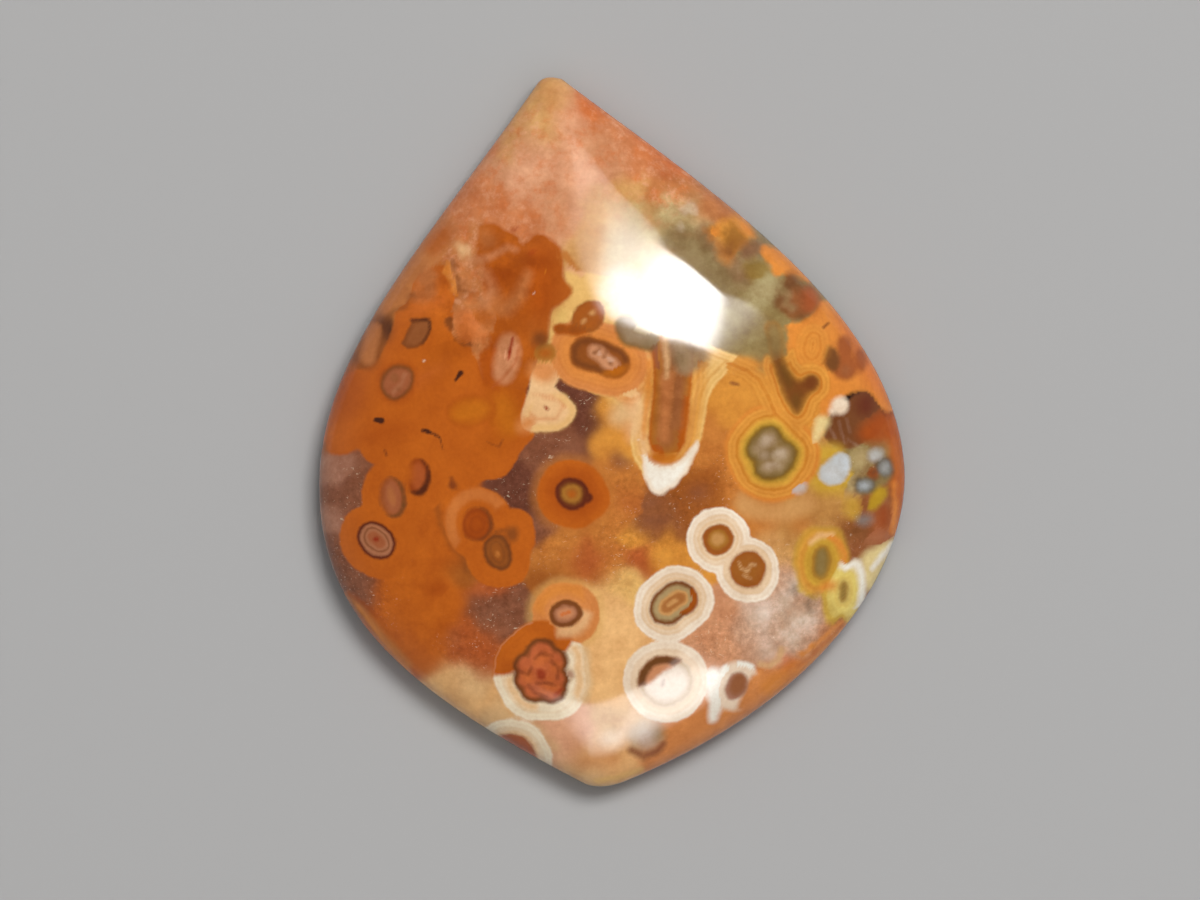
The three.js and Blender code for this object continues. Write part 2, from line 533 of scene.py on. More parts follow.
def left_field():
    """The broad opaque orange field on the left, with its eyes and cracks."""
    field = patch(
        (-15.9, -0.1), (-14.1, 0.1), (-13.8, -0.7), (-13.2, -1.1), (-12.0, -1.2), (-9.6, -2.6),
        (-8.9, -1.8), (-8.3, -2.6), (-7.8, -2.8), (-7.1, -2.4), (-6.0, -2.4), (-5.4, -1.7),
        (-5.0, -0.9), (-3.9, 0.1), (-4.5, 1.0), (-4.4, 2.6), (-6.6, 2.8), (-7.0, 4.2), (-7.2, 5.1),
        (-8.1, 5.4), (-8.5, 6.4), (-8.2, 7.2), (-7.8, 7.8), (-8.1, 8.3), (-8.3, 9.0), (-8.7, 9.5),
        (-8.4, 10.2), (-10.5, 9.2), (-10.6, 8.0), (-11.4, 7.5), (-11.7, 6.4), (-12.2, 5.5),
        (-12.8, 4.4), (-14.6, 4.2), (-16.6, 2.0),
    )
    mark("field", field, "orange")
    stains("field", "orange", 0.1, 1.0, (-15.0, -0.1, 0.8, 0.35))
    stains("patch", "amber", 0.6, 0.8, (-8.8, 4.6, 1.6, 0.9, 35), (-6.0, 0.2, 1.4, 0.8, 40))
    stains("patch", "deep orange", 0.7, 0.6, (-14.6, 3.0, 0.9, 1.6, -20), (-12.4, 0.6, 1.6, 0.6, 10))
    stains("vein", "rust bright", 0.5, 0.3, (-10.5, 3.4, 1.6, 0.3, 25), (-9.4, 7.6, 1.2, 0.4, 20))
    nodule(
        oval(-11.65, 3.4, 1.02, 0.86, 40),
        halo=(0.25, "deep orange", 0.2, 0.6), shell=(0.02, "bark", 0.12, 0.85),
        core=(-0.17, "clay", 0.12, 0.95),
    )
    stroke("heart", "sand brown", 0.12, 0.9, 0.1, (-11.9, 2.9), (-11.35, 3.3), (-11.2, 3.8), end=0.06)
    stains("dot", "sienna", 0.1, 0.8, (-11.75, 3.65, 0.22, 0.3, 30), (-11.55, 3.05, 0.12, 0.1))
    diamond = patch(
        (-9.5, 6.8), (-10.5, 6.8), (-10.95, 6.2), (-11.45, 5.3), (-10.2, 5.25), (-9.6, 6.1), cuts=1,
    )
    nodule(diamond, shell=(0.03, "umber", 0.07, 0.85), core=(-0.12, "chestnut", 0.12))
    stroke(
        "dot", "dark brown", 0.08, 0.85, 0.09, (-10.6, 6.8), (-9.6, 6.8), (-9.65, 6.15), (-10.15, 5.4),
        end=0.05,
    )
    stains("patch", "dusty", 0.3, 0.75, (-9.6, 8.8, 0.6, 1.0))
    nodule(
        tube((-12.75, 6.5), (-13.2, 4.9), r=0.4),
        halo=(0.3, "umber", 0.18, 0.5), shell=(0.1, "brown", 0.12, 0.6), core=(0.0, "dusty", 0.16, 0.9),
    )
    stains("patch", "umber", 0.25, 0.55, (-12.0, 6.4, 0.4, 0.7, -10))
    stains("halo", "umber", 0.2, 0.7, (-14.0, 5.0, 0.3))
    nodule(
        oval(-7.6, 1.55, 1.35, 0.85, 10),
        halo=(0.05, "deep orange", 0.15, 0.6), band=(-0.04, "amber", 0.15, 0.9),
        shell=(-0.3, "amber gold", 0.3, 0.8),
    )
    stroke("dot", "dark brown", 0.05, 1.0, 0.12, (-13.0, 1.38), (-12.65, 1.32), end=0.18)
    stroke("dot", "dark brown", 0.05, 1.0, 0.04, (-8.3, 3.25), (-7.95, 3.7), end=0.15)
    stroke(
        "dot", "dark brown", 0.05, 1.0, 0.13, (-10.35, 0.6), (-9.9, 0.42), (-9.5, 0.15), (-9.3, -0.5),
        end=0.03,
    )
    stroke("dot", "maroon", 0.06, 0.8, 0.06, (-12.6, -0.35), (-12.5, -0.65))
    stroke("dot", "maroon", 0.06, 0.7, 0.03, (-6.9, -0.2), (-6.2, -0.6), (-6.0, -0.2))
    mark("dot", patch((-8.95, -1.9), (-9.05, -2.7), (-8.45, -2.8), cuts=1), "maroon", 0.12, 0.8)
    stains("dot", "cream", 0.06, 0.7, (-10.15, 4.45, 0.08, 0.07), (-11.25, -1.2, 0.1, 0.07, 30))


def upper_left_edge():
    """The dusty border between the orange field and the rim of the stone."""
    border = patch(
        (-11.6, 7.3), (-10.5, 8.0), (-10.4, 9.2), (-8.5, 10.2), (-9.0, 12.4), (-13.4, 7.6),
        (-13.0, 6.6),
    )
    mark("field", border, "dusty", 0.3, 0.75)
    stroke(
        "vein", "umber", 0.15, 0.6, 0.1, (-12.4, 7.2), (-11.9, 6.95), (-11.5, 7.45), (-10.8, 7.6),
        (-10.55, 8.2),
    )
    stains("patch", "dusty", 0.3, 0.6, (-7.5, 8.9, 0.55, 0.9), (-9.9, 8.3, 0.5, 0.6))
    stains("patch", "rust bright", 0.5, 0.6, (-7.35, 6.2, 0.9))
    stains("vein", "amber", 0.4, 0.5, (-7.7, 5.9, 0.5, 0.6))
    stains("patch", "amber", 0.3, 0.7, (-6.5, 6.7, 0.8, 0.6), (-8.9, 11.2, 0.5, 0.9, -40))
    stroke("vein", "umber", 0.12, 0.8, 0.09, (-8.4, 6.6), (-8.2, 5.6), (-7.7, 5.2), (-7.0, 5.2))
    stroke("vein", "bright orange", 0.12, 0.7, 0.1, (-8.5, 10.1), (-8.6, 9.5), (-8.1, 8.9), (-8.0, 8.2))
    stroke("vein", "umber", 0.12, 0.5, 0.06, (-8.2, 10.3), (-7.9, 9.3), (-7.7, 8.4), (-7.2, 8.1))
    stains("vein", "tan pale", 0.3, 0.7, (-7.6, 10.6, 0.3, 0.45, 30))


def amber_pool():
    """The clear amber pool left of the middle, with its pink streaks."""
    pool = patch(
        (-2.6, 11.0), (-2.0, 10.4), (-1.9, 9.6), (-1.95, 9.0), (-1.85, 8.6), (-1.5, 8.2), (-1.4, 7.85),
        (-1.8, 7.5), (-2.3, 7.1), (-2.8, 6.9), (-2.9, 6.2), (-3.0, 5.4), (-3.2, 5.0), (-3.9, 3.9),
        (-4.1, 3.3), (-4.5, 2.4), (-4.9, 1.2), (-5.3, 0.3), (-5.8, -0.1), (-6.5, 0.1), (-6.9, 1.2),
        (-6.7, 2.8), (-7.0, 4.2), (-6.4, 5.6), (-5.7, 7.0), (-6.6, 8.4), (-6.2, 9.6), (-6.9, 10.8),
        (-6.5, 12.1), (-5.4, 11.9), (-4.6, 11.2), (-4.0, 10.8), (-3.3, 11.2),
    )
    mark("patch", pool, "amber", 0.12, 0.95)
    stains("vein", "deep amber", 0.8, 0.8, (-3.3, 8.6, 1.1, 2.0), (-5.2, 9.0, 0.8, 0.5, 10))
    stains("vein", "deep amber", 0.35, 0.7, (-6.4, 4.2, 0.45, 1.5, -8))
    stains("vein", "amber gold", 0.4, 0.8, (-5.7, 1.2, 0.7, 1.2, 10), (-2.9, 9.0, 0.4, 0.9))
    stains("halo", "dusty", 0.35, 0.6, (-6.2, 11.2, 0.4, 0.6, 20), (-5.9, 7.6, 0.5, 0.7))
    nodule(
        oval(-3.25, 4.55, 0.62, 0.55), band=(0.0, "gold brown", 0.1, 0.9),
        shell=(-0.25, "amber", 0.2, 0.8),
    )
    stains("dot", "umber", 0.25, 0.85, (-3.5, 5.3, 0.5, 0.42))
    stroke("heart", "dusty", 0.3, 0.8, 0.2, (-3.9, 9.0), (-4.4, 7.9), (-5.2, 7.2), end=0.4)
    stroke(
        "heart", "dusty pale", 0.22, 0.75, 0.2, (-7.2, 9.9), (-6.1, 10.1), (-5.0, 10.6), (-4.6, 10.4),
        end=0.1,
    )
    stroke("heart", "dusty pale", 0.3, 0.6, 0.2, (-6.3, 9.2), (-5.9, 8.4), (-6.3, 7.6))
    pink = patch(
        (-6.2, 3.1), (-5.4, 2.9), (-4.9, 3.7), (-4.6, 5.0), (-5.0, 5.9), (-5.9, 5.6), (-6.2, 4.4),
    )
    mark("heart", pink, "dusty pale", 0.2, 0.95)
    stains("heart", "rose pale", 0.2, 0.8, (-5.6, 4.7, 0.3, 0.8, -10))
    stroke("dot", "wine", 0.08, 1.0, 0.09, (-5.05, 5.5), (-5.3, 4.9), (-5.45, 4.4), end=0.06)
    stroke("dot", "rust", 0.1, 0.7, 0.07, (-4.8, 4.9), (-5.0, 4.2), (-5.6, 3.4), (-6.3, 2.8))
    stroke("dot", "deep orange", 0.12, 0.7, 0.08, (-6.1, 5.0), (-6.9, 4.2), (-6.7, 3.2), (-6.0, 2.6))
    stains("dot", "wine", 0.12, 0.7, (-3.6, 10.2, 0.2, 0.08, 30), (-4.5, 11.6, 0.25, 0.08, 20))
    stains("dot", "cream", 0.06, 0.6, (-3.6, 8.0, 0.1, 0.07, 30))


def orange_eyes():
    """The orange rimmed eyes on the left and in the middle."""
    nodule(
        oval(-12.3, -2.98, 0.74, 1.12, 5), lines=0.15,
        rim=(1.0, "orange"), shell=(0.02, "rust brown", 0.1),
        core=(-0.2, "clay", 0.14, 0.95),
    )
    shade = less(oval(-12.3, -2.98, 0.76, 1.14, 5), oval(-12.5, -2.9, 0.74, 1.1, 5))
    mark("heart", shade, "bark", 0.1, 0.9)
    stains("dot", "dusty", 0.15, 0.7, (-12.4, -2.9, 0.22, 0.5, 10))
    nodule(
        oval(-10.75, -1.9, 0.68, 0.98), lines=0.15,
        rim=(1.0, "orange"), shell=(0.02, "burnt", 0.1), core=(-0.24, "rust", 0.16, 0.9),
    )
    crescent = less(oval(-10.75, -1.95, 0.72, 1.02), oval(-11.0, -1.7, 0.68, 0.98))
    mark("heart", crescent, "dark brown", 0.1, 0.85)
    stains("dot", "orange", 0.25, 0.8, (-11.35, -1.6, 0.3, 0.6))
    left_eye = oval(-13.35, -5.4, 1.18, 0.95, -42)
    nodule(
        left_eye, lines=0.15,
        rim=(1.03, "orange"), shell=(0.0, "maroon"), core=(-0.17, "sand brown"),
        heart=(-0.36, "umber", 0.05, 0.8), dot=(-0.45, "sand brown", 0.05), spot=(-0.6, "clay", 0.08),
    )
    stains("speck", "wine", 0.07, 1.0, (-13.35, -5.4, 0.17, 0.13))
    nodule(
        oval(-7.62, -4.75, 0.85, 0.9), lines=0.2,
        rim=(1.08, "orange"), shell=(0.0, "burnt", 0.1), core=(-0.22, "deep orange", 0.1),
        heart=(-0.4, "burnt", 0.08, 0.8), dot=(-0.54, "deep orange", 0.1),
    )
    mark("heart", less(oval(-7.62, -4.75, 0.9, 0.92), oval(-7.8, -4.7, 0.86, 0.9)), "umber", 0.1, 0.8)
    nodule(
        oval(-6.62, -6.4, 0.74, 1.0, 8), lines=0.2,
        rim=(1.03, "orange"), shell=(0.02, "umber", 0.08), core=(-0.18, "brown", 0.1, 0.8),
        heart=(-0.36, "umber", 0.08, 0.5), dot=(-0.48, "brown", 0.08),
    )
    stains("spot", "copper", 0.06, 1.0, (-6.62, -6.5, 0.13, 0.18))
    nodule(
        patch((-5.4, -5.1), (-6.0, -5.1), (-6.1, -5.5), (-5.9, -5.9), (-5.45, -5.8)),
        rim=(1.0, "orange"), shell=(0.02, "umber", 0.2, 0.75),
    )
    stroke("shell", "umber", 0.14, 0.7, 0.12, (-6.6, -5.3), (-6.0, -5.28))
    pale_side = both(
        ring(join(oval(-7.62, -4.75, 0.85, 0.9), oval(-6.62, -6.4, 0.74, 1.0, 8)), 1.02, 0.42),
        patch((-9.9, -6.3), (-9.9, -2.5), (-5.6, -2.5), (-6.0, -4.0), (-8.2, -4.4), (-9.0, -6.3)),
    )
    mark("band", pale_side, "pale orange", 0.16, 0.5, 0.4)
    stroke(
        "halo", "umber", 0.22, 0.6, 0.12, (-9.8, -3.4), (-9.75, -4.6), (-9.35, -5.7), (-8.6, -6.5),
        (-8.4, -7.3),
    )
    square = patch((-3.1, -4.35), (-3.15, -2.8), (-1.55, -2.7), (-1.4, -4.3))
    middle = join(square, oval(-2.3, -3.5, 0.95, 0.92), oval(-1.4, -3.8, 0.25), melt=0.15)
    nodule(
        middle, lines=0.2,
        halo=(1.3, "copper", 0.3, 0.6), rim=(1.0, "orange", 0.07), band=(0.45, "deep orange", 0.3, 0.7),
        shell=(0.0, "maroon", 0.07), core=(-0.24, "umber", 0.08), heart=(-0.4, "gold brown", 0.1),
    )
    mark("dot", grow(middle, -0.6), "brown", 0.08, 0.6)
    stains("spot", "amber", 0.1, 0.8, (-2.3, -3.55, 0.2))
    low_eye = oval(-3.05, -10.1, 0.98, 0.78)
    nodule(
        low_eye, lines=0.3,
        halo=(1.25, "honey pale", 0.3, 0.6), rim=(1.0, "pale orange"), band=(0.2, "pale orange", 0.1),
        shell=(0.0, "umber", 0.06, 0.95), core=(-0.3, "sand brown", 0.08),
        heart=(-0.48, "dusty pale", 0.08),
    )
    glow = both(ring(low_eye, 1.0, 0.35), oval(-3.6, -9.0, 1.7, 1.2))
    mark("band", glow, "bright orange", 0.25, 0.8, 0.3)
    mark("stripe", both(ring(low_eye, 0.5, -0.05), oval(-2.3, -11.0, 1.3, 1.0)), "peach", 0.2, 0.8)
    stroke("dot", "rust bright", 0.06, 1.0, 0.1, (-3.25, -10.13), (-2.8, -10.03))


def red_eye():
    """The big lobed red eye low on the left, its rim half orange and half cream."""
    core = join(
        oval(-4.55, -12.35, 1.0, 0.95), oval(-3.85, -12.75, 0.8), oval(-3.75, -13.7, 0.7),
        oval(-4.15, -14.3, 0.85), oval(-5.05, -14.2, 0.85), oval(-5.5, -13.6, 0.75),
        oval(-5.4, -12.9, 0.8), oval(-4.6, -13.3, 1.3), melt=0.15,
    )
    rim = join(grow(core, 0.92), oval(-4.6, -13.35, 2.7, 2.72), melt=0.3)
    mark("rim", rim, "cream", 0.06, 1.0, 0.4)
    orange_side = patch(
        (-8.0, -13.25), (-6.2, -13.25), (-4.6, -12.6), (-2.6, -12.0), (-3.0, -10.4), (-7.4, -10.2),
        cuts=1,
    )
    mark("band", both(grow(rim, 0.07), orange_side), "orange", 0.1, 1.0, 0.2)
    left_side = patch((-7.2, -13.3), (-5.4, -13.4), (-4.8, -15.3), (-5.2, -16.0), (-7.0, -15.0))
    mark("band", both(ring(core, 0.5, 0.0), left_side), "peach", 0.16, 0.9, 0.4)
    right_side = patch((-3.6, -11.8), (-1.2, -12.0), (-1.4, -15.5), (-3.0, -15.2))
    mark("band", both(ring(core, 0.8, 0.35), right_side), "peach", 0.14, 0.9, 0.4)
    mark("band", both(ring(core, 1.3, 0.8), right_side), "tan pale", 0.14, 0.8, 0.4)
    nodule(core, shell=(0.02, "umber", 0.1), core=(-0.26, "russet", 0.12))
    stains("dot", "rust bright", 0.2, 0.6, (-4.5, -12.5, 0.6, 0.35, 15), (-3.75, -13.1, 0.35, 0.4),
           (-4.2, -14.3, 0.6, 0.35, 10), (-5.4, -13.5, 0.35, 0.45, 20), (-4.1, -13.7, 0.25))
    stains("spot", "wine", 0.1, 0.75, (-4.62, -13.35, 0.26, 0.32, 20), (-3.75, -14.5, 0.3, 0.1, 40))
    for places in (
        ((-5.9, -13.1), (-5.4, -13.35), (-5.2, -13.0)), ((-5.0, -12.5), (-4.6, -12.2), (-3.9, -12.4)),
        ((-4.0, -12.7), (-3.6, -13.1), (-3.7, -13.7)), ((-5.4, -14.0), (-5.0, -14.5), (-4.4, -14.75)),
        ((-4.9, -13.9), (-4.3, -13.9), (-3.9, -14.1)),
    ):
        stroke("spot", "maroon", 0.1, 0.7, 0.07, *places)
    stains("shell", "mauve pale", 0.12, 0.8, (-3.0, -13.5, 0.25))


def white_eyes():
    """The cream rimmed eyes at the lower right of the middle."""
    first = oval(5.72, -6.55, 0.84, 0.8)
    nodule(
        first, lines=0.8,
        rim=(0.95, "vanilla", 0.05), band=(0.42, "tan pale", 0.14, 0.6),
        shell=(0.0, "brown"), core=(-0.3, "gold brown", 0.08), heart=(-0.5, "tan", 0.1, 0.7),
    )
    square = patch((6.4, -9.15), (6.4, -7.6), (8.0, -7.55), (8.15, -9.1))
    second = join(square, oval(7.25, -8.35, 1.03, 1.0), melt=0.1)
    nodule(
        second, lines=0.8,
        rim=(0.76, "vanilla", 0.05), band=(0.3, "tan pale", 0.12, 0.6),
        shell=(0.0, "brown", 0.07), core=(-0.25, "gold brown", 0.3, 0.35),
    )
    stroke(
        "dot", "tan pale", 0.08, 0.8, 0.07, (6.8, -7.9), (6.9, -8.3), (7.3, -8.5), (7.45, -8.15),
        (7.7, -8.2),
    )
    stroke("dot", "tan pale", 0.08, 0.7, 0.06, (7.0, -8.65), (7.4, -8.9))
    third = tube((2.65, -10.2), (3.35, -9.72), r=0.98)
    nodule(
        third, lines=0.8,
        rim=(0.88, "vanilla", 0.05), band=(0.36, "tan pale", 0.14, 0.6),
        shell=(0.0, "umber", 0.08), core=(-0.22, "olive tan", 0.1, 0.8), heart=(-0.5, "tan", 0.07),
        dot=(-0.66, "brown", 0.07, 0.7),
    )
    stroke("spot", "tan", 0.07, 1.0, 0.1, (2.75, -10.1), (3.15, -9.85))
    side = patch((2.5, -10.8), (4.5, -10.4), (4.5, -9.2), (3.8, -9.2), (3.2, -10.2))
    mark("core", both(ring(third, -0.05, -0.45), side), "amber", 0.14, 0.8)
    fourth = oval(2.25, -14.3, 1.5)
    nodule(
        fourth, lines=0.4,
        rim=(0.85, "vanilla", 0.05), band=(0.35, "tan pale", 0.16, 0.4),
        shell=(0.0, "grey tan", 0.1, 0.5),
        core=(-0.3, "oat", 0.14),
    )
    # Painted highlight: the dark ring and darker heart stop at the upper edge of the low shine; below it
    # the ring is left faint and the core pale, partly the eye's own pale core and partly painted
    # highlight
    above_shine_edge = patch(
        (0.2, -14.6), (1.2, -14.5), (2.0, -13.8), (3.2, -13.1), (4.2, -12.9), (3.6, -12.0),
        (1.6, -12.0), (0.3, -12.8), cuts=1,
    )
    mark("heart", both(grow(fourth, 0.03), above_shine_edge), "dusty pale", 0.1)
    mark("dot", both(ring(fourth, 0.04, -0.42), above_shine_edge), "bark", 0.1)
    stains("dot", "cocoa", 0.1, 0.5, (2.1, -14.3, 0.1, 0.26, -15))
    ring_eye = oval(6.15, -14.9, 0.62, 0.82, -30)
    open_side = patch((6.9, -14.4), (8.2, -14.0), (8.0, -16.5), (6.0, -16.4), (6.4, -15.6))
    mark("rim", less(grow(ring_eye, 0.62), open_side), "vanilla", 0.14, 0.9)
    stroke(
        "rim", "white", 0.1, 1.0, 0.34, (5.2, -14.5), (5.7, -13.95), (6.5, -13.7), (7.2, -13.85),
        end=0.2,
    )
    stroke("rim", "white", 0.16, 0.95, 0.6, (4.9, -14.4), (5.0, -15.6), (4.8, -16.6), end=0.25)
    mark("core", ring_eye, "mauve pale", 0.1)
    stains("heart", "sienna", 0.16, 0.95, (6.25, -14.8, 0.48, 0.66, -25))


def toe_marks():
    """Markings along the lower edge of the stone, with one painted highlight spot among them."""
    nodule(
        oval(-6.75, -18.2, 1.55), lines=0.5,
        rim=(0.85, "cream", 0.08), band=(0.25, "peach", 0.15, 0.8), shell=(0.0, "rust", 0.08),
    )
    stroke(
        "patch", "tan pale", 0.25, 0.6, 0.15, (-7.9, -15.5), (-6.4, -15.7), (-5.2, -16.3),
        (-4.2, -17.6), end=0.3,
    )
    nodule(
        oval(1.0, -17.3, 1.05, 0.95), band=(0.0, "grey tan", 0.3, 0.6),
        heart=(-0.35, "milk", 0.35, 0.35),
    )
    stroke("dot", "cocoa", 0.16, 0.9, 0.18, (0.1, -18.0), (0.8, -18.4), (1.6, -18.2), (2.0, -17.8))
    stains("dot", "moss", 0.35, 0.45, (1.7, -17.1, 0.35, 0.55))
    stains("field", "pale orange", 0.7, 0.55, (-1.8, -18.5, 1.5, 0.8), (3.4, -17.6, 1.3, 0.6, 25))
    # Painted highlight: a faint white spot where the low shine's reflection runs out at its lower left
    stains("patch", "white", 0.4, 0.35, (-1.0, -17.35, 0.5, 0.4))
    stroke("patch", "honey pale", 0.12, 0.8, 0.14, (-1.9, -19.7), (-0.8, -19.5), (0.6, -19.1))
    stroke(
        "patch", "bright orange", 0.3, 0.85, 0.6, (8.2, -15.2), (9.4, -14.4), (10.6, -13.6),
        (12.4, -12.1), end=0.35,
    )
    stroke("vein", "bright orange", 0.12, 0.8, 0.1, (10.0, -13.2), (11.0, -12.7), (12.2, -11.8))
    stroke("vein", "rust", 0.12, 0.6, 0.08, (9.7, -14.0), (10.8, -13.1), (12.3, -12.0))
    stroke("patch", "tan pale", 0.12, 0.8, 0.16, (8.9, -12.9), (8.75, -13.5), (8.2, -13.85), (7.7, -13.7))
    stroke(
        "patch", "copper", 0.15, 0.85, 0.2, (-15.2, -8.3), (-14.3, -9.4), (-13.2, -11.0),
        (-12.2, -12.4), end=0.35,
    )
    stroke(
        "vein", "bright orange", 0.1, 0.8, 0.07, (-14.7, -8.9), (-13.9, -10.1), (-12.8, -11.7),
        (-11.9, -12.9),
    )
    stroke("vein", "deep orange", 0.12, 0.7, 0.1, (-15.1, -8.2), (-14.3, -8.8), (-13.6, -9.6))


def cream_lobe():
    """The peach and cream lobe right of the orange field, with its red swirl."""
    lobe = patch(
        (-2.6, 2.35), (-2.1, 1.9), (-1.75, 1.4), (-1.8, 0.9), (-2.2, 0.4), (-2.9, 0.1), (-3.8, 0.15),
        (-4.2, 0.1), (-5.0, 0.5), (-4.7, 1.6), (-4.3, 2.8), (-4.0, 3.9), (-3.1, 4.0), (-2.6, 3.1),
        (-3.1, 2.75),
    )
    mark("rim", lobe, "peach")
    mark("band", both(ring(lobe, 0.0, -0.4), oval(-2.9, 0.9, 1.6, 1.4)), "honey pale", 0.15, 0.6)
    stains("band", "pale orange", 0.3, 0.9, (-3.5, 3.6, 0.8, 0.6, -10), (-4.6, 0.6, 0.6, 0.4, 30))
    stroke(
        "core", "rust bright", 0.12, 0.45, 0.07, (-4.1, 2.3), (-3.2, 2.2), (-2.5, 1.6), (-2.9, 0.9),
        (-3.9, 0.8), (-4.3, 1.2),
    )
    stroke("core", "rust bright", 0.12, 0.6, 0.07, (-3.5, 2.1), (-2.8, 1.9), (-2.4, 1.5))
    stroke("dot", "wine", 0.06, 0.9, 0.05, (-3.5, 1.6), (-3.35, 1.4), end=0.09)


def centre_net():
    """The cream net right of the amber pool and the eyes that hang in it."""
    net = patch(
        (-1.85, 9.3), (-1.0, 8.9), (0.4, 8.6), (2.0, 8.4), (3.2, 7.0), (3.0, 5.9), (1.3, 6.2),
        (1.0, 5.2), (1.5, 4.5), (2.6, 4.4), (2.6, 2.4), (2.4, 1.6), (0.6, 1.6), (-0.6, 1.9),
        (-1.6, 2.6), (-2.5, 3.1), (-3.3, 3.4), (-4.0, 3.8), (-3.9, 4.0), (-3.2, 5.0), (-2.9, 5.4),
        (-2.8, 6.9), (-1.9, 7.4), (-1.45, 7.9), (-1.9, 8.3),
    )
    mark("field", net, "honey pale")
    stains("patch", "oat", 0.5, 0.9, (1.3, 7.6, 1.0, 1.3))
    stains("patch", "straw", 0.5, 0.5, (-2.3, 6.6, 0.4))
    stroke("vein", "copper", 0.1, 0.9, 0.22, (-1.8, 9.9), (-1.35, 9.3), (-0.85, 8.75), end=0.08)
    stroke("vein", "rose pale", 0.15, 0.8, 0.14, (-1.65, 9.2), (-1.2, 9.0), (-0.9, 8.8))
    nodule(
        oval(-0.7, 6.4, 1.08, 0.8, 35),
        halo=(0.25, "honey pale", 0.12, 0.9), shell=(0.0, "brown", 0.08), core=(-0.25, "amber", 0.2, 0.7),
        heart=(-0.4, "brown", 0.2, 0.7),
    )
    stains("dot", "tan", 0.1, 0.8, (-0.95, 6.2, 0.2, 0.1, 30), (-0.4, 6.65, 0.18, 0.1, 30))
    nodule(
        join(oval(-2.3, 5.8, 0.42, 0.34), oval(-1.4, 5.75, 0.7, 0.4), melt=0.3),
        shell=(0.0, "amber", 0.1), core=(-0.12, "umber", 0.2, 0.5),
    )
    stains("halo", "rose pale", 0.15, 0.9, (-1.8, 5.3, 0.45, 0.18, 10))
    wheel = tube((-0.95, 4.35), (0.4, 3.8), r=1.0)
    nodule(
        wheel, lines=0.5,
        rim=(1.05, "pale orange", 0.08), band=(0.55, "bright orange", 0.3, 0.6),
        shell=(0.0, "brown", 0.08), core=(-0.12, "umber", 0.15), heart=(-0.4, "brown", 0.15, 0.7),
    )
    mark("dot", both(grow(wheel, -0.1), oval(0.65, 3.1, 0.8, 0.42, 15)), "amber gold", 0.2, 0.9)
    crystal = patch(
        (-0.8, 4.9), (-0.2, 4.8), (0.2, 4.3), (0.9, 3.6), (0.6, 3.2), (0.0, 3.2), (-0.4, 3.8),
        (-1.0, 4.3),
    )
    mark("dot", crystal, "rose", 0.14, 0.85)
    stains("spot", "umber", 0.1, 0.8, (-0.55, 4.35, 0.13, 0.1), (-0.05, 4.1, 0.12, 0.08, 40),
           (-0.3, 4.6, 0.1, 0.08), (0.25, 3.65, 0.1), (0.1, 4.35, 0.08, 0.12))
    stains("spot", "quartz pale", 0.1, 0.8, (-0.3, 4.25, 0.1, 0.08), (0.3, 3.9, 0.16, 0.08, -30))
    outer = both(
        ring(wheel, 1.7, 1.05), patch((0.5, 1.2), (3.2, 1.6), (3.2, 5.0), (1.2, 4.6), (0.4, 2.8)),
    )
    mark("rim", outer, "pale orange", 0.14, 0.7, 1.8)
    stains("rim", "peach", 0.2, 0.6, (1.6, 1.9, 0.7, 0.3, 10))
    stains("patch", "tan pale", 0.4, 0.9, (1.0, 0.9, 0.9, 0.65, 30))
    stains("vein", "pale orange", 0.3, 0.7, (1.6, 1.5, 0.6, 0.4, 60), (1.2, 0.0, 0.3, 0.6, -20))


